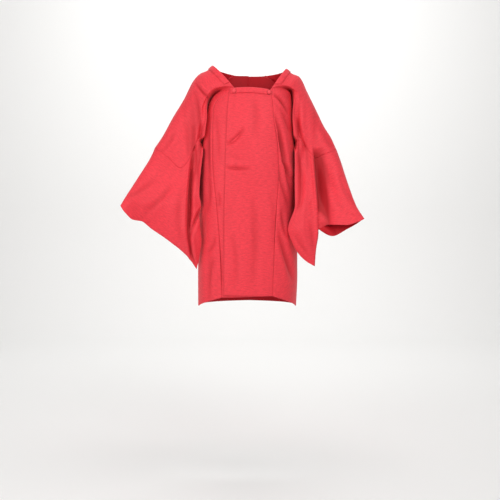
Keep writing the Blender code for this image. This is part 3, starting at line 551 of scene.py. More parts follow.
class Wing:
    """The cloth over one arm, on its front or its back.

    Its fall lines a run from 0 at the body to 1 at the ridge, and its rows b from -1 at the neck through 0 at
    the armhole to 1 at the bottom.
    """

    def __init__(self, side, face):
        self.side, self.face = side, face
        steps = np.linspace(0, 1, EDGE_STEPS + 1)
        shoulder = along(RIDGE_OF_SHOULDER[side], steps)
        self.ridge = np.concatenate((shoulder, along(RIDGE_OF_SLEEVE[side], steps)[1:]))
        inner = along(INNER_EDGE[side, "front"], np.linspace(SEWN_STARTS[side], 1, EDGE_STEPS + 1))
        bottom = along(BOTTOM[side, "front"], np.linspace(0, CUFF_STARTS[side], EDGE_STEPS + 1))
        self.sewn = np.concatenate((inner, bottom[1:]))

    def flat(self, a, b):
        """x and z of fall line a at row b."""
        side, face = self.side, self.face
        a, b = np.broadcast_arrays(np.asarray(a, float), np.asarray(b, float))
        a, t = a[..., None], np.clip(b + 1, 0, 1)
        u, s = t[..., None], np.clip(b, 0, 1)[..., None]
        pit = along(ARMHOLE[side, face], 0.0)
        top_of_ridge = along(ARMHOLE[side, face], 1.0)
        first = fold_to_arm(side, face, 0.0)[[0, 2]]
        last = fold_to_arm(side, face, 1.0)[[0, 2]]
        armhole = along(ARMHOLE[side, face], a[..., 0]) + (1 - a) * (last - pit)
        neck = first + (self.ridge[0] - first) * a
        above = between(a, u, neck, armhole, fold_to_arm(side, face, t)[..., [0, 2]],
                        along(RIDGE_OF_SHOULDER[side], t), (first, self.ridge[0], last, top_of_ridge))
        inner = along(INNER_EDGE[side, face], s[..., 0]) + (1 - s) * (last - pit)
        bottom, ridge = BOTTOM[side, face], RIDGE_OF_SLEEVE[side]
        below = between(a, s, armhole, along(bottom, a[..., 0]), inner, along(ridge, s[..., 0]),
                        (last, top_of_ridge, along(bottom, 0.0), along(bottom, 1.0)))
        return np.where(b[..., None] <= 0, above, below)

    def is_sewn(self, a, b):
        """Where front and back are sewn to each other."""
        inner = (a == 0) & (b >= SEWN_STARTS[self.side])
        return inner | ((b == 1) & (a <= CUFF_STARTS[self.side])) | (a == 1)

    def thickness(self, a, b, place):
        """Half the wing's depth, from its middle to this face."""
        x, z = np.abs(place[..., 0]), place[..., 1]
        full = spline(WING["across"], WING[self.face], x)
        full = full * (1 - spline(HANG[self.side]["z"], HANG[self.side]["loss"], z))
        rise = np.minimum(distance_to(self.ridge, place) / full, 1)
        closing = np.minimum(distance_to(self.sewn, place) / SEWN_SPREAD, 1)
        half = full * np.sqrt(1 - (1 - rise) ** 2) * (1 - (1 - closing) ** 2)
        return np.where(self.is_sewn(a, b), 0.0, np.maximum(half, SEWN_HALF))

    def middle(self, place):
        """y of the wing's middle: the sleeve swings forward as it hangs."""
        x, z = np.abs(place[..., 0]), place[..., 1]
        forward = spline(HANG[self.side]["z"], HANG[self.side]["forward"], z)
        return spline(WING["across"], WING["middle"], x) - forward

    def drawn_in(self, a, b, place):
        """How far the large folds draw the cloth towards the wing's middle."""
        drawn = np.zeros(a.shape)
        folds = each_row(WING_FOLDS[self.side, self.face])
        for line, floor, inner, outer, depth, start, full, fade, stop in folds:
            away = np.linalg.norm(place - self.flat(line, b), axis=-1)
            across = 1 - smooth((away - floor) / np.where(a < line, inner, outer))
            grows = smooth((b - start) / (full - start)) * smooth((stop - b) / (stop - fade))
            drawn += np.where((b > start) & (b < stop), depth * across * grows, 0.0)
        return drawn

    def lean(self, b, away):
        """How far the front's rim leans over the fold beside the body, from how far it is from that fold."""
        rows = smooth((b - LEAN_STARTS) / LEAN_GROWS) * smooth(-b / LEAN_FADES)
        lean = LEAN[self.side] * rows * smooth(away / (FOLD_FLOOR + FOLD_MOUTH))
        return lean * (1 - smooth((away - LEAN_KEPT) / LEAN_ENDS))

    def points(self, a, b):
        """The places of the cloth, as it falls in one piece with the body above the armhole."""
        a, b = np.broadcast_arrays(np.asarray(a, float), np.asarray(b, float))
        place = self.flat(a, b)
        if self.face == "back":
            sewn = self.is_sewn(a, b)[..., None]
            place = np.where(sewn, Wing(self.side, "front").flat(a, b), place)
        half = self.thickness(a, b, place)
        room = np.maximum((2 - ROOM_LEFT) * half - FOLD_ROOM, 0.0)
        inward = np.minimum(self.drawn_in(a, b, place), room)
        y = self.middle(place) + facing(self.face) * (half - inward)
        off = place - self.flat(0.0, b)
        away = np.linalg.norm(off, axis=-1)
        near = (1 - smooth((away - FOLD_FLOOR) / FOLD_MOUTH)) * (1 - smooth(np.maximum(b, 0) / FOLD_FADES))
        floor = fold_to_arm(self.side, self.face, np.clip(b + 1, 0, 1))
        y = y + near * (floor[..., 1] - y)
        if self.face == "front":
            place = place - self.lean(b, away)[..., None] * unit(off)
        layer = np.where(self.is_sewn(a, b) | (self.face == "front"), FRONT_CLEARANCE, 0.0)
        x, y = self.clear_of_body(place[..., 0], y, place[..., 1], b, layer)
        found = np.stack((x, y, place[..., 1]), -1)
        on_fold = ((a == 0) & (b <= 0))[..., None]
        return np.where(on_fold, floor, found)

    def clear_of_body(self, x, y, z, b, layer):
        """Places moved out of the body's rings, and those just outside a little."""
        starts = smooth((b - CLEARING[0]) / (CLEARING[1] - CLEARING[0]))
        off = (ARM_CLEARANCE + layer) * starts
        half, front, back = (spline(TORSO["z"], TORSO[name], z) + off for name in (self.side, *FACES))
        depth = np.where(y < 0, front, back)
        away = ((np.abs(x) / half) ** RING_POWER + (np.abs(y) / depth) ** RING_POWER) ** (1 / RING_POWER)
        away = np.maximum(away, LEAST_AWAY)
        grow = 1 + starts * ((1 + away ** -CLEARING_POWER) ** (1 / CLEARING_POWER) - 1)
        return x * grow, y * grow


def fall_lines(steps=WING_STEPS, first=0.0):
    """Places of the fall lines, from the first one to the ridge."""
    even = np.linspace(first, 1, steps + 1)
    return LINES_CROWD * (1 - np.cos(np.pi * even)) / 2 + (1 - LINES_CROWD) * even


def side_seam(side, face, t):
    """Where the gore meets a panel, from the armpit (0) to the hem (1)."""
    around, top = fold_place(side, face, 1.0)
    z = top + (SIDE_HEM - top) * t
    seam = around_at_depth(side, face, spline(GORE["z"], GORE["half"], z), z)
    return seam + (around - seam) * (1 - smooth(t / SEAM_EASES)), z


def inner_stations():
    """Rows down an inner line: those beside the wing, then those beside the gore."""
    beside_wing = np.linspace(0, SHOULDER_SHARE, SHOULDER_STEPS + 1)
    return np.concatenate((beside_wing, np.linspace(SHOULDER_SHARE, 1, TORSO_STEPS + 1)[1:]))


def front_line(side, t):
    """The front's inner line: around and z."""
    place = along(SEAM_OF_UPPER_OVERLAP if side == "left" else SEAM_OF_LOWER_OVERLAP, t)
    return around_at_x(side, "front", place[..., 0], place[..., 1]), place[..., 1]


def back_line(side, t):
    """The back's, which is its middle seam."""
    top = FOLD_TO_ARM[side, "back"]["z"][0]
    z = np.interp(t, (0, BACK_BAND_SHARE, 1), (top, top - BACK_BAND, BACK_HEM))
    return np.zeros_like(z), z


INNER_LINES = {"front": front_line, "back": back_line}


def torso_points(side, face):
    """The body's panel from its inner line to the fold and the side seam."""
    inner, inner_z = INNER_LINES[face](side, inner_stations())
    beside_wing = fold_place(side, face, np.linspace(0, 1, SHOULDER_STEPS + 1))
    beside_gore = side_seam(side, face, np.linspace(0, 1, TORSO_STEPS + 1)[1:])
    outer, outer_z = (np.concatenate(parts) for parts in zip(beside_wing, beside_gore))
    share = np.linspace(0, 1, PANEL_STEPS[face] + 1)
    around = inner[:, None] + (outer - inner)[:, None] * share
    z = inner_z[:, None] + (outer_z - inner_z)[:, None] * share
    return ring_point(side, face, around, z, lift_of(side, face))


def front_point(x, z, lift):
    """Places on the front of the body, on either side of its middle."""
    x, z = np.broadcast_arrays(x, z)
    right, left = (ring_point(side, "front", around_at_x(side, "front", x, z), z) for side in SIDES)
    found = np.where((x > 0)[..., None], left, right)
    return found - np.array([0, 1, 0]) * np.asarray(lift)[..., None]


def overlap_edges(side, t):
    """The right and the left edge of an overlap panel."""
    seam = along(SEAM_OF_UPPER_OVERLAP, t)
    if side == "left":
        return along(EDGE_OF_UPPER_OVERLAP, t), seam
    return along(SEAM_OF_LOWER_OVERLAP, t), seam - np.array([HIDDEN_EDGE_INSET, 0])


def overlap_flat(side, share, t):
    """x and z of an overlap panel: share 0 is its right edge, 1 its left one, t runs down it."""
    first, last = overlap_edges(side, t)
    place = first + (last - first) * share[..., None]
    place[..., 1] += NECK_RISE * (1 - (2 * share - 1) ** 2) * (1 - smooth(t / SEAM_EASES))
    return place


def crease_depth(kind, side, face, points):
    """How far the creases of a panel draw its cloth in, for each of its points."""
    drawn = np.zeros(points.shape[:-1])
    share = np.linspace(0, 1, CREASE_POINTS)[:, None]
    for x0, z0, x1, z1, x2, z2, near, far, depth in each_row(CREASES[kind, side, face]):
        start, bend, end = np.array([x0, z0]), np.array([x1, z1]), np.array([x2, z2])
        bend = 2 * bend - (start + end) / 2
        line = (1 - share) ** 2 * start + 2 * share * (1 - share) * bend + share ** 2 * end
        gap, part = gaps_to(line, points[..., [0, 2]])
        away = np.linalg.norm(gap, axis=-1)
        nearest = away.argmin(-1)[..., None]
        place = (nearest + np.take_along_axis(part, nearest, -1))[..., 0] / (CREASE_POINTS - 1)
        outward = np.take_along_axis(gap[..., 0], nearest, -1)[..., 0] * sign(side) > 0
        away = away.min(-1) / np.where(outward, far, near)
        ends = np.sin(np.pi * np.clip(place, 0, 1)) ** CREASE_TAPER
        drawn += depth * ends * (np.exp(-away ** 2) - LIP_HEIGHT * np.exp(-(away - LIP_AT) ** 2))
    return drawn


class Patch:
    """A grid of one panel's places, with how far each is drawn in along the cloth's normal."""

    def __init__(self, points, outward, straight=0.0):
        self.points = np.array(points)
        self.outward = outward
        self.straight = np.broadcast_to(straight * np.asarray(outward(self.points)), self.points.shape)
        self.drawn = np.zeros(self.points.shape[:2])
        down, across = (np.linalg.norm(np.diff(self.points, axis=k), axis=-1) for k in (0, 1))
        self.down = np.concatenate((np.zeros((1, down.shape[1])), np.cumsum(down, axis=0)))
        self.across = np.concatenate((np.zeros((across.shape[0], 1)), np.cumsum(across, axis=1)), axis=1)

    def crease(self, kind, side, face):
        strength = bpy.context.scene.coat_cloth.crease_strength
        self.drawn += strength * crease_depth(kind, side, face, self.points)
        return self

    def ripple(self, kind, side):
        """Low, uneven waves that every worn cloth has."""
        seed = WAVE_SEEDS[kind][0] + sign(side) * WAVE_SEEDS[kind][1]
        x, y, z = (self.points[..., k] for k in range(3))
        u = x + WAVES_TURN * y
        wave = 0
        for length, bend, bend_length, bend_shift, shift, share in WAVES:
            bent = bend * np.sin(z / bend_length + bend_shift * seed)
            wave = wave + share * np.sin(u / length + bent + shift * seed)
        wave *= 0.5 + 0.5 * np.sin(z / CALM[0] + x / CALM[1] + CALM[2] * seed)
        self.drawn += bpy.context.scene.coat_cloth.ripple_height * wave / 2
        return self

    def dip(self, away, share=1.0):
        """A seam: the cloth turns in over the last few millimetres."""
        cloth = bpy.context.scene.coat_cloth
        self.drawn += share * cloth.seam_depth * (1 - smooth(away / cloth.seam_width))
        return self

    def valley(self, away, depths, width):
        """The fold between body and wing, drawn in deeper; depths has one number for each row."""
        self.drawn += depths[:, None] * (1 - smooth(away / width))
        return self

    def limit(self, room):
        """Keeps what is drawn in less than the room behind it."""
        self.drawn = np.minimum(self.drawn, room)
        return self

    def fade(self, away, width):
        """Lets all that was drawn in die out towards an edge."""
        self.drawn *= smooth(away / width)
        return self

    def from_last_row(self):
        return self.down[-1] - self.down

    def from_last_column(self, rows=slice(None)):
        """How far the cloth of these rows is from the last column; other rows count as far away."""
        away = np.ones(self.across.shape)
        away[rows] = (self.across[:, -1:] - self.across)[rows]
        return away


def coat_object(name, data):
    """A new object in the scene."""
    made = bpy.data.objects.new(name, data)
    bpy.context.scene.collection.objects.link(made)
    return made


def coat_piece(node, data):
    """A new object that stands for a node of the frame."""
    piece = coat_object(f"crepe_{node}", data)
    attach(piece, "root")
    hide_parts(node)
    return piece


def cloth_piece(node, patches, materials):
    """One piece of cloth from its patches, welded where they meet and as thick as crepe with its lining."""
    points, faces, drawn, straight, uv = [], [], [], [], []
    for patch in patches:
        rows, columns = patch.points.shape[:2]
        base = sum(len(p) for p in points)
        index = base + np.arange(rows * columns).reshape(rows, columns)
        quads = np.stack((index[:-1, :-1], index[1:, :-1], index[1:, 1:], index[:-1, 1:]), -1).reshape(-1, 4)
        normal = np.cross(np.gradient(patch.points, axis=0), np.gradient(patch.points, axis=1))
        if (normal * patch.outward(patch.points)).sum() < 0:
            quads = quads[:, ::-1]
        points.append(patch.points.reshape(-1, 3))
        drawn.append(patch.drawn.reshape(-1))
        straight.append(patch.straight.reshape(-1, 3))
        uv.append(np.stack((patch.across, patch.down), -1).reshape(-1, 2))
        faces.append(quads)
    points, drawn, straight, uv, faces = map(np.concatenate, (points, drawn, straight, uv, faces))
    _, first, welded = np.unique(np.round(points / WELD).astype(np.int64), axis=0,
                                 return_index=True, return_inverse=True)
    welded = welded.reshape(-1)
    shared = np.bincount(welded)
    pulled = np.bincount(welded, drawn) / shared
    # Each face as its welded corners and the grid's corner that each came from
    polygons = [dict(zip(corners, source)) for corners, source in zip(welded[faces].tolist(), faces.tolist())]
    polygons = [polygon for polygon in polygons if len(polygon) > 2]
    data = bpy.data.meshes.new(f"crepe_{node}")
    data.from_pydata(points[first].tolist(), [], [list(polygon) for polygon in polygons])
    normals = np.zeros(len(first) * 3)
    data.vertex_normals.foreach_get("vector", normals)
    lean = np.stack([np.bincount(welded, part) for part in straight.T], -1) / shared[:, None]
    moved = points[first] - unit(normals.reshape(-1, 3) + lean) * pulled[:, None]
    data.vertices.foreach_set("co", moved.reshape(-1))
    layer = data.uv_layers.new(name="cloth")
    sources = [source for polygon in polygons for source in polygon.values()]
    layer.data.foreach_set("uv", uv[sources].reshape(-1))
    # How far each place is drawn in; the crepe's material paints shade in the creases from it
    fold = data.attributes.new("fold", "FLOAT", "POINT")
    fold.data.foreach_set("value", pulled)
    data.shade_smooth()
    data.update()
    for material in materials:
        data.materials.append(material)
    piece = coat_piece(node, data)
    wall = piece.modifiers.new("wall", "SOLIDIFY")
    wall.thickness = bpy.context.scene.coat_cloth.cloth_thickness
    wall.offset = 0.0
    wall.material_offset = len(materials) - 1
    return piece


def from_axis(points):
    return points * np.array([1, 1, 0])


def from_chest(points):
    return points - CHEST


def towards(face):
    return lambda points: np.array([0, facing(face), 0])


# Materials

CREPE_BUMP = (0.55, 0.25 * MM)     # strength and height of each bump
BUTTON_BUMP = (0.35, 0.2 * MM)
LINING_BUMP = (0.2, 0.1 * MM)
PAPER_BUMP = (0.05, 0.1 * MM)
WAVE_PERIOD = 2 * np.pi / 20   # metres from one band to the next in a wave texture of scale 1
DYE_PATCHES = 11.0          # for each metre, about a hand's width apart
LINING_PATCHES = 14.0
PAPER_FIBRES = 240.0
FOLD_FULLY_SHADED = 9 * MM          # a crease this deep has its full painted shade
RIM = (-1 * MM, 1.6 * MM)   # heights on a button between which its rim's shade dies out
BLOOM = "FFC4C4"            # of the soft light that crepe gives back at a glancing angle


def linear(code):
    """An sRGB hex value as a linear colour."""
    values = [int(code[i:i + 2], 16) / 255 for i in (0, 2, 4)]
    return tuple(v / 12.92 if v <= 0.04045 else ((v + 0.055) / 1.055) ** 2.4 for v in values)


def add(tree, kind, settings=None, **links):
    """Adds a node with its settings, and its links or values by the sockets' names or _numbers."""
    node = tree.nodes.new(kind)
    for name, value in (settings or {}).items():
        setattr(node, name, value)
    for name, value in links.items():
        socket = node.inputs[int(name[1:]) if name[1:].isdigit() else name.replace("_", " ")]
        if isinstance(value, bpy.types.NodeSocket):
            tree.links.new(value, socket)
        else:
            socket.default_value = (*value, 1.0) if socket.type == "RGBA" else value
    return node


def once(name, nodes):
    """A material by its name. The first time it is made, nodes fills its tree and returns the shader."""
    made = bpy.data.materials.get(name)
    if made is None:
        made = bpy.data.materials.new(name)
        made.use_nodes = True
        tree = made.node_tree
        tree.nodes.clear()
        shader = nodes(tree, bpy.context.scene)
        add(tree, "ShaderNodeOutputMaterial", Surface=shader.outputs["BSDF"])
    return made


def silk_crepe(tree, scene):
    """Silk crepe: hard-twisted weft makes it pebbly, so it drinks light and shows only a low, broad sheen."""
    cloth = scene.coat_cloth
    uv = add(tree, "ShaderNodeUVMap", {"uv_map": "cloth"}).outputs["UV"]
    place = add(tree, "ShaderNodeTexCoord").outputs["Object"]
    # Pebbles of the crinkled weft, a little longer down the cloth than across it
    stretched = add(tree, "ShaderNodeMapping", Vector=uv, Scale=(1.0, 0.7, 1.0)).outputs["Vector"]
    pebbles = add(tree, "ShaderNodeTexNoise", Vector=stretched, Scale=1 / cloth.crepe_grain, Detail=3.0,
                  Roughness=0.6).outputs["Fac"]
    # Rows of the weave, drawn many times coarser than real threads so that they show at all
    threads = add(tree, "ShaderNodeTexWave", {"wave_type": "BANDS", "bands_direction": "X"}, Vector=uv,
                  Scale=WAVE_PERIOD / cloth.weave_spacing, Distortion=1.2, Detail=1.0).outputs["Fac"]
    height = add(tree, "ShaderNodeMix", {"data_type": "FLOAT"}, _0=0.25, _2=pebbles, _3=threads)
    bump = add(tree, "ShaderNodeBump", Strength=CREPE_BUMP[0], Distance=CREPE_BUMP[1],
               Height=height.outputs[0])
    # Dye takes unevenly over a hand's width, and the pebbles get painted shade in their hollows and a little
    # painted light on their tops
    patchy = add(tree, "ShaderNodeTexNoise", Vector=place, Scale=DYE_PATCHES, Detail=2.0)
    tone = add(tree, "ShaderNodeMix", {"data_type": "RGBA"}, _0=patchy.outputs["Fac"],
               _6=cloth.crepe_colour, _7=cloth.crepe_shade)
    grain = add(tree, "ShaderNodeMapRange", Value=pebbles, From_Min=0.35, From_Max=0.65,
                To_Min=0.88, To_Max=1.06)
    # Slubs of the weft: short, thin streaks across the cloth that catch more light or less
    across = add(tree, "ShaderNodeMapping", Vector=uv,
                 Scale=(1 / cloth.slub_length, 1 / cloth.slub_height, 1.0)).outputs["Vector"]
    slubs = add(tree, "ShaderNodeTexNoise", Vector=across, Scale=1.0, Detail=3.0, Roughness=0.7)
    streaks = add(tree, "ShaderNodeMapRange", Value=slubs.outputs["Fac"], From_Min=0.3, From_Max=0.7,
                  To_Min=0.82, To_Max=1.14)
    both = add(tree, "ShaderNodeMath", {"operation": "MULTIPLY"}, _0=grain.outputs["Result"],
               _1=streaks.outputs["Result"])
    colour = add(tree, "ShaderNodeMix", {"data_type": "RGBA", "blend_type": "MULTIPLY"}, _0=1.0,
                 _6=tone.outputs[2], _7=both.outputs[0])
    # Painted shade in the hollows of the creases: the deeper the cloth is drawn in, the more its colour goes
    # to a dark red, which stays red because light goes from cloth to cloth there
    fold = add(tree, "ShaderNodeAttribute", {"attribute_name": "fold"}).outputs["Fac"]
    painted_shade = add(tree, "ShaderNodeMapRange", Value=fold, From_Min=0.0, From_Max=FOLD_FULLY_SHADED,
               To_Min=0.0, To_Max=0.9)
    colour = add(tree, "ShaderNodeMix", {"data_type": "RGBA"}, _0=painted_shade.outputs["Result"],
                 _6=colour.outputs[2], _7=cloth.crepe_painted_shade)
    return add(tree, "ShaderNodeBsdfPrincipled", Base_Color=colour.outputs[2], Normal=bump.outputs["Normal"],
               Roughness=0.58, Specular_IOR_Level=0.3, Sheen_Weight=0.16, Sheen_Roughness=0.45,
               Sheen_Tint=linear(BLOOM))


def silk_lining(tree, scene):
    """Plain-woven silk lining: smooth and fine, so a little glossier and deeper in colour than the crepe."""
    cloth = scene.coat_cloth
    uv = add(tree, "ShaderNodeUVMap", {"uv_map": "cloth"}).outputs["UV"]
    threads = add(tree, "ShaderNodeTexWave", {"wave_type": "BANDS", "bands_direction": "Y"}, Vector=uv,
                  Scale=WAVE_PERIOD / cloth.weave_spacing, Distortion=0.6, Detail=1.0).outputs["Fac"]
    bump = add(tree, "ShaderNodeBump", Strength=LINING_BUMP[0], Distance=LINING_BUMP[1], Height=threads)
    patchy = add(tree, "ShaderNodeTexNoise", Vector=uv, Scale=LINING_PATCHES, Detail=2.0)
    tone = add(tree, "ShaderNodeMix", {"data_type": "RGBA"}, _0=patchy.outputs["Fac"],
               _6=cloth.lining_colour, _7=[0.8 * c for c in cloth.lining_colour])
    return add(tree, "ShaderNodeBsdfPrincipled", Base_Color=tone.outputs[2], Normal=bump.outputs["Normal"],
               Roughness=0.5, Specular_IOR_Level=0.15)


def button_crepe(tree, scene):
    """The same crepe drawn tight over a button's mould, so its pebbles lie flatter."""
    cloth = scene.coat_cloth
    place = add(tree, "ShaderNodeTexCoord").outputs["Object"]
    pebbles = add(tree, "ShaderNodeTexNoise", Vector=place, Scale=1 / cloth.crepe_grain,
                  Detail=2.0).outputs["Fac"]
    bump = add(tree, "ShaderNodeBump", Strength=BUTTON_BUMP[0], Distance=BUTTON_BUMP[1], Height=pebbles)
    # Painted shade: the pebbles' hollows take the deeper crepe colour
    tone = add(tree, "ShaderNodeMix", {"data_type": "RGBA"}, _0=pebbles, _6=cloth.crepe_shade,
               _7=cloth.crepe_colour)
    # Pleated in under the rim, the crepe lies in shade
    height = add(tree, "ShaderNodeSeparateXYZ", Vector=place).outputs["Z"]
    rim = add(tree, "ShaderNodeMapRange", Value=height, From_Min=RIM[0], From_Max=RIM[1],
              To_Min=0.3, To_Max=1.0)
    tone = add(tree, "ShaderNodeMix", {"data_type": "RGBA", "blend_type": "MULTIPLY"}, _0=1.0,
               _6=tone.outputs[2], _7=rim.outputs["Result"])
    return add(tree, "ShaderNodeBsdfPrincipled", Base_Color=tone.outputs[2], Normal=bump.outputs["Normal"],
               Roughness=0.5, Sheen_Weight=0.2, Sheen_Tint=linear(BLOOM))


def studio_paper(tree, scene):
    """Matt pale paper of the studio floor: no gloss, so that it takes only the coat's soft shadow."""
    place = add(tree, "ShaderNodeTexCoord").outputs["Object"]
    fibre = add(tree, "ShaderNodeTexNoise", Vector=place, Scale=PAPER_FIBRES, Detail=2.0).outputs["Fac"]
    bump = add(tree, "ShaderNodeBump", Strength=PAPER_BUMP[0], Distance=PAPER_BUMP[1], Height=fibre)
    return add(tree, "ShaderNodeBsdfPrincipled", Normal=bump.outputs["Normal"], Roughness=0.9,
               Base_Color=scene.coat_stage.floor_colour)


def outer_cloth():
    return once("red silk crepe, piece dyed", silk_crepe)


def lined_cloth():
    return [outer_cloth(), once("deep red silk lining, plain woven", silk_lining)]


# Settings


class CoatCloth(bpy.types.PropertyGroup):
    """Sizes and colours of the cloth."""
    crepe_colour: FloatVectorProperty(
        name="Crepe", description="Colour of the outer crepe", subtype="COLOR", default=linear("EC3A47"))
    # Deeper dye in patches of the cloth, and on the buttons also painted shade in the pebbles' hollows
    crepe_shade: FloatVectorProperty(
        name="Crepe, deep", description="Colour where the dye took deeper", subtype="COLOR",
        default=linear("E2323F"))
    # Painted shade: the dark red mixed in deep in the creases
    crepe_painted_shade: FloatVectorProperty(
        name="Crepe, hollows", description="Colour deep in the creases", subtype="COLOR",
        default=linear("A80C18"))
    lining_colour: FloatVectorProperty(
        name="Lining", description="Colour of the lining", subtype="COLOR", default=linear("C41824"))
    cloth_thickness: FloatProperty(
        name="Cloth", description="Thickness of the crepe with its lining", unit="LENGTH", default=1.6 * MM)
    crepe_grain: FloatProperty(
        name="Crepe grain", description="Size of the crepe's pebbles", unit="LENGTH", default=1.4 * MM)
    weave_spacing: FloatProperty(
        name="Weave", description="Drawn spacing of its soft bands", unit="LENGTH", default=5.655 * MM)
    slub_length: FloatProperty(
        name="Slub length", description="Length of the weft's streaks", unit="LENGTH", default=14 * MM)
    slub_height: FloatProperty(
        name="Slub height", description="Height of the weft's streaks", unit="LENGTH", default=4 * MM)
    seam_depth: FloatProperty(
        name="Seam depth", description="How far cloth turns in at a seam", unit="LENGTH", default=1.3 * MM)
    seam_width: FloatProperty(
        name="Seam width", description="Width over which it turns in", unit="LENGTH", default=4.5 * MM)
    crease_strength: FloatProperty(
        name="Creases", description="Depth of all creases", subtype="FACTOR", default=1.15, min=0.0, max=2.0)
    ripple_height: FloatProperty(
        name="Ripples", description="Height of the cloth's low waves", unit="LENGTH", default=0.8 * MM)


class CoatButtons(bpy.types.PropertyGroup):
    """Sizes of the covered buttons."""
    diameter: FloatProperty(
        name="Diameter", description="Diameter of a covered button", unit="LENGTH", default=15 * MM)
    thickness: FloatProperty(
        name="Thickness", description="Height of its dome", unit="LENGTH", default=6 * MM)


class CoatStage(bpy.types.PropertyGroup):
    """Floor, lights and camera."""
    floor_colour: FloatVectorProperty(
        name="Floor", description="Colour of the studio floor", subtype="COLOR", default=linear("F1F1F0"))
    floor_height: FloatProperty(
        name="Floor height", description="Height of the floor under the hung coat", unit="LENGTH",
        default=-1.36)
    key_power: FloatProperty(
        name="Key light", description="Power of the large soft light", unit="POWER", default=34.0)
    fill_power: FloatProperty(
        name="Fill light", description="Power of the light on the other side", unit="POWER", default=31.0)
    ambience: FloatProperty(
        name="Ambience", description="Strength of the light from all around", default=0.46)


# Pieces


def wing_patches(side, rows):
    """A wing's front and back by face, each drawn in by less than the room between them."""
    layers = {face: Wing(side, face).points(fall_lines(), rows[:, None]) for face in FACES}
    gap = layers["back"][..., 1] - layers["front"][..., 1]
    patches = {face: Patch(points, towards(face), STRAIGHT) for face, points in layers.items()}
    for face, patch in patches.items():
        patch.crease("wing", side, face).ripple("wing", side).limit(SHARE_OF_GAP * gap)
    return patches


class COAT_OT_body(bpy.types.Operator):
    """Makes both halves of the body, each one length of cloth over the shoulder"""
    bl_idname = "coat.body"
    bl_label = "Body panels"

    def execute(self, context):
        beside_gore = slice(SHOULDER_STEPS + 1, None)
        depths = np.interp(np.linspace(0, 1, SHOULDER_STEPS + 1), *VALLEY)
        lower_depths = depths[-1] * (1 - smooth(np.arange(1, TORSO_STEPS + 1) / VALLEY_ENDS))
        for side in SIDES:
            patches = []
            for face in FACES:
                patch = Patch(torso_points(side, face), from_axis)
                to_fold = patch.from_last_column()
                patch.crease("body", side, face).ripple("body", side).fade(to_fold, BODY_FADE)
                if face == "front":
                    patch.valley(to_fold, np.concatenate((depths, lower_depths)), VALLEY_WIDTH["body"])
                patches.append(patch.dip(patch.across).dip(patch.from_last_column(beside_gore)))
            for face, patch in wing_patches(side, np.linspace(-1, 0, SHOULDER_STEPS + 1)).items():
                patch.fade(patch.across, WING_FADE)
                if face == "front":
                    patch.valley(patch.across, depths, VALLEY_WIDTH["wing"])
                patches.append(patch.dip(patch.from_last_row(), ARMHOLE_SHARE))
            piece = cloth_piece(f"body_{side}", patches, lined_cloth())
        return {"FINISHED"}


class COAT_OT_sleeves(bpy.types.Operator):
    """Makes both sleeves: sewn along the bottom and the lower inner edge, open at the cuff and by the body"""
    bl_idname = "coat.sleeves"
    bl_label = "Sleeves"

    def execute(self, context):
        for side in SIDES:
            patches = wing_patches(side, np.linspace(0, 1, SLEEVE_STEPS + 1)).values()
            for patch in patches:
                patch.dip(patch.down, ARMHOLE_SHARE)
            piece = cloth_piece(f"sleeve_{side}", patches, lined_cloth())
        return {"FINISHED"}


class COAT_OT_overlaps(bpy.types.Operator):
    """Makes the two overlap panels, left over right"""
    bl_idname = "coat.overlaps"
    bl_label = "Overlap panels"

    def execute(self, context):
        share = np.linspace(0, 1, OVERLAP_STEPS + 1)
        for side in SIDES:
            flat = overlap_flat(side, share, inner_stations()[:, None])
            patch = Patch(front_point(flat[..., 0], flat[..., 1], lift_of(side, "front")), from_axis)
            patch.crease("overlap", side, "front").ripple("overlap", side)
            patch.dip(patch.from_last_column() if side == "left" else patch.across)
            piece = cloth_piece(f"overlap_{side}", [patch], lined_cloth())
        return {"FINISHED"}


class COAT_OT_gores(bpy.types.Operator):
    """Makes the side gores, narrow under the armpit and wider at the hem"""
    bl_idname = "coat.gores"
    bl_label = "Side gores"

    def execute(self, context):
        rows = np.linspace(0, 1, TORSO_STEPS + 1)[:, None]
        share = np.linspace(0, 1, GORE_STEPS + 1)
        for side in SIDES:
            front, z = side_seam(side, "front", rows)
            back, _ = side_seam(side, "back", rows)
            on_front = ring_point(side, "front", front + (1 - front) * np.minimum(2 * share, 1), z)
            on_back = ring_point(side, "back", 1 - (1 - back) * np.maximum(2 * share - 1, 0), z)
            patch = Patch(np.where((share <= 0.5)[:, None], on_front, on_back), from_axis)
            patch.ripple("gore", side).dip(patch.across).dip(patch.from_last_column())
            piece = cloth_piece(f"gore_{side}", [patch], lined_cloth())
        return {"FINISHED"}


def band_rows():
    return np.linspace(0, BAND_WIDTH, BAND_ACROSS_STEPS + 1)


def band(points, outward):
    """A band on the panel whose places it gets: it stands off it, and more so in its own middle."""
    normal = unit(np.cross(np.gradient(points, axis=0), np.gradient(points, axis=1)))
    normal *= np.sign((normal * outward(points)).sum(-1, keepdims=True))
    across = band_rows() / BAND_WIDTH
    lift = BAND_STAND + BAND_SWELL * np.sqrt(np.maximum(1 - (2 * across - 1) ** 2, 0))
    return Patch(points + normal * lift[:, None, None], outward)


def wing_strip(side, face):
    """The places of a wing that its neck band covers."""
    wing = Wing(side, face)
    lines = fall_lines(BAND_STEPS, BAND_STARTS[face])
    found = wing.points(lines, BAND_ROWS[:, None])
    away = distance_to(found[0], found)
    b = np.stack([np.interp(band_rows(), away[:, k], BAND_ROWS) for k in range(len(lines))], 1)
    return wing.points(np.broadcast_to(lines, b.shape), b)


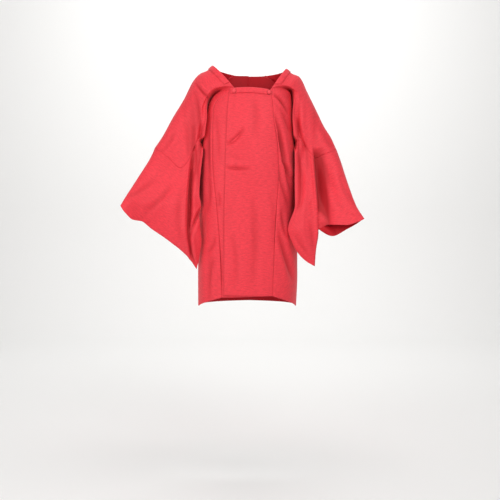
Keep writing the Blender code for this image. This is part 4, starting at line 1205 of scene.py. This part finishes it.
class COAT_OT_neck_bands(bpy.types.Operator):
    """Makes the folded edge round the square neck, in three stretches"""
    bl_idname = "coat.neck_bands"
    bl_label = "Neck bands"

    def execute(self, context):
        for side in SIDES:
            front, back = (wing_strip(side, face) for face in FACES)
            top = FOLD_TO_ARM[side, "back"]["z"][0]
            around = np.linspace(FOLD_TO_ARM[side, "back"]["around"][0], 0, BAND_BACK_STEPS + 1)
            level = ring_point(side, "back", around, (top - band_rows())[:, None])
            points = np.concatenate((front, back[:, ::-1][:, 1:], level[:, 1:]), 1)
            piece = cloth_piece(f"neck_band_{side}", [band(points, from_chest)], [outer_cloth()])
        share = np.linspace(*BAND_ENDS, BAND_STEPS + 1)
        place = overlap_flat("left", share, np.zeros(len(share)))
        points = front_point(place[:, 0], place[:, 1] - band_rows()[:, None], FRONT_LAYER)
        piece = cloth_piece("neck_band_front", [band(points, from_axis)], [outer_cloth()])
        return {"FINISHED"}


# A button's outline, as shares of its radius and its thickness, and the small pleats of its cover
BUTTON_PROFILE = ((0.0, 1.0), (0.30, 0.98), (0.55, 0.90), (0.76, 0.76), (0.91, 0.56), (0.99, 0.32),
                  (1.0, 0.2), (0.93, 0.06), (0.72, 0.0), (0.0, 0.02))
BUTTON_TURNS = 48
PLEATS = 11
PLEAT_DEPTH = 0.012
PLEATS_BELOW = 0.4
BUTTON_SITS = {"right": (3, 0, -2), "left": (5, 0, -2)}   # as tied on, off the middle of its place


def button_mesh(name, sizes):
    """A domed button, with its cover pleated in under the rim."""
    n = BUTTON_TURNS
    angle = np.linspace(0, 2 * np.pi, n + 1)[:-1]
    heights = [(height - 0.5) * sizes.thickness for _, height in BUTTON_PROFILE]
    points, faces = [], []
    for (radius, height), z in list(zip(BUTTON_PROFILE, heights))[1:-1]:
        pleats = 1 + PLEAT_DEPTH * np.cos(PLEATS * angle) * (height < PLEATS_BELOW)
        r = radius * sizes.diameter / 2 * pleats
        points += np.stack((r * np.cos(angle), r * np.sin(angle), np.full(n, z)), -1).tolist()
    top, bottom = len(points), len(points) + 1
    turns = [(k, (k + 1) % n) for k in range(n)]
    for start in range(0, top - n, n):
        faces += [(start + n + k, start + n + after, start + after, start + k) for k, after in turns]
    faces += [(k, after, top) for k, after in turns]
    faces += [(top - n + after, top - n + k, bottom) for k, after in turns]
    data = bpy.data.meshes.new(name)
    data.from_pydata(points + [(0, 0, heights[0]), (0, 0, heights[-1])], [], faces)
    data.shade_smooth()
    return data


class COAT_OT_buttons(bpy.types.Operator):
    """Makes the two domed buttons covered in the coat's own crepe"""
    bl_idname = "coat.buttons"
    bl_label = "Covered buttons"

    def execute(self, context):
        for side in SIDES:
            name = f"button_{side}"
            low, high = (Vector(corner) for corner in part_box(name))
            centre = (low + high) / 2
            near = front_point(centre.x + np.array([-MM, MM]), np.full(2, centre.z), 0.0)
            out = Vector(unit(np.array([near[1, 1] - near[0, 1], near[0, 0] - near[1, 0], 0.0])))
            data = button_mesh(f"crepe_{name}", context.scene.coat_buttons)
            data.materials.append(once("red silk crepe stretched over a mould", button_crepe))
            piece = coat_piece(name, data)
            piece.location = centre + Vector(BUTTON_SITS[side]) * MM
            piece.rotation_euler = out.to_track_quat("Z", "Y").to_euler()
        return {"FINISHED"}


# Stage

CAMERA_PLACE = (0.005, -2.8, -0.5576)
CAMERA_LENS = 59.3
CAMERA_DIP = 1.25           # degrees below level
DAYLIGHT = (1.0, 0.985, 0.975, 1.0)
# Round soft lights: place, what each faces, its width, and its power as a share of the key's or the fill's
LIGHTS = {
    "key": ((1.0, -2.7, 0.9), (0.0, 0.0, -0.45), 1.8, "key_power", 1.0),
    "fill": ((-1.8, -2.3, 0.2), (0.0, 0.0, -0.45), 1.8, "fill_power", 1.0),
    "top": ((0.2, -0.3, 1.6), (0.0, 0.0, -0.5), 1.2, "key_power", 0.3),
    "backdrop": ((0.0, 1.6, 2.2), (0.0, 4.2, 0.2), 2.0, "key_power", 2.05),
}
FLOOR_FRONT, FLOOR_BACK = -6.0, 3.2
FLOOR_HALF_WIDTH = 4.0
FLOOR_CURVE = 1.0           # radius of its bend behind the coat
FLOOR_CURVE_STEPS = 16
FLOOR_TOP = 5.0


class COAT_OT_stage(bpy.types.Operator):
    """Makes the pale floor, the soft lights and the camera"""
    bl_idname = "coat.stage"
    bl_label = "Floor, lights and camera"

    def execute(self, context):
        scene, stage = context.scene, context.scene.coat_stage
        self.floor(stage.floor_height)
        for name, (place, target, size, light, share) in LIGHTS.items():
            self.light(name, place, target, size, share * getattr(stage, light))
        world = bpy.data.worlds.new("studio")
        world.use_nodes = True
        world.node_tree.nodes["Background"].inputs["Color"].default_value = DAYLIGHT
        world.node_tree.nodes["Background"].inputs["Strength"].default_value = stage.ambience
        scene.world = world
        camera = coat_object("camera", bpy.data.cameras.new("camera"))
        camera.data.lens = CAMERA_LENS
        camera.location = CAMERA_PLACE
        camera.rotation_euler = (np.radians(90 - CAMERA_DIP), 0, 0)
        scene.camera = camera
        scene.view_settings.view_transform = "Standard"
        return {"FINISHED"}

    def floor(self, level):
        """A floor that curves up behind the coat."""
        bend = [(FLOOR_BACK + FLOOR_CURVE * np.sin(turn), FLOOR_CURVE * (1 - np.cos(turn)))
                for turn in np.linspace(0, np.pi / 2, FLOOR_CURVE_STEPS + 1)]
        profile = [(FLOOR_FRONT, 0.0), *bend, (FLOOR_BACK + FLOOR_CURVE, FLOOR_TOP)]
        points = [(x, y, level + z) for y, z in profile for x in (-FLOOR_HALF_WIDTH, FLOOR_HALF_WIDTH)]
        faces = [(2 * i, 2 * i + 1, 2 * i + 3, 2 * i + 2) for i in range(len(profile) - 1)]
        data = bpy.data.meshes.new("floor")
        data.from_pydata(points, [], faces)
        data.shade_smooth()
        data.materials.append(once("pale matt studio paper", studio_paper))
        coat_object("floor", data)

    def light(self, name, place, target, size, power):
        lamp = bpy.data.lights.new(name, "AREA")
        lamp.shape = "DISK"
        lamp.size = size
        lamp.energy = power
        made = coat_object(name, lamp)
        made.location = place
        made.rotation_euler = (Vector(target) - Vector(place)).to_track_quat("-Z", "Y").to_euler()


class COAT_PT_panel(bpy.types.Panel):
    """Lists the coat's pieces and settings in the sidebar"""
    bl_idname = "COAT_PT_panel"
    bl_label = "Coat"
    bl_space_type = "VIEW_3D"
    bl_region_type = "UI"
    bl_category = "Coat"

    def draw(self, context):
        for operator in OPERATORS:
            self.layout.operator(operator.bl_idname)
        for name, settings in GROUPS.items():
            for setting in settings.__annotations__:
                self.layout.prop(getattr(context.scene, name), setting)


GROUPS = {"coat_cloth": CoatCloth, "coat_buttons": CoatButtons, "coat_stage": CoatStage}
OPERATORS = (COAT_OT_body, COAT_OT_sleeves, COAT_OT_overlaps, COAT_OT_gores, COAT_OT_neck_bands,
             COAT_OT_buttons, COAT_OT_stage)
CLASSES = (*GROUPS.values(), *OPERATORS, COAT_PT_panel)


def register():
    for made in CLASSES:
        bpy.utils.register_class(made)
    for name, group in GROUPS.items():
        setattr(bpy.types.Scene, name, PointerProperty(type=group))


def unregister():
    for name in GROUPS:
        delattr(bpy.types.Scene, name)
    for made in reversed(CLASSES):
        bpy.utils.unregister_class(made)


def main():
    register()
    bpy.ops.coat.body()
    bpy.ops.coat.sleeves()
    bpy.ops.coat.overlaps()
    bpy.ops.coat.gores()
    bpy.ops.coat.neck_bands()
    bpy.ops.coat.buttons()
    bpy.ops.coat.stage()


if __name__ == "__main__":
    main()
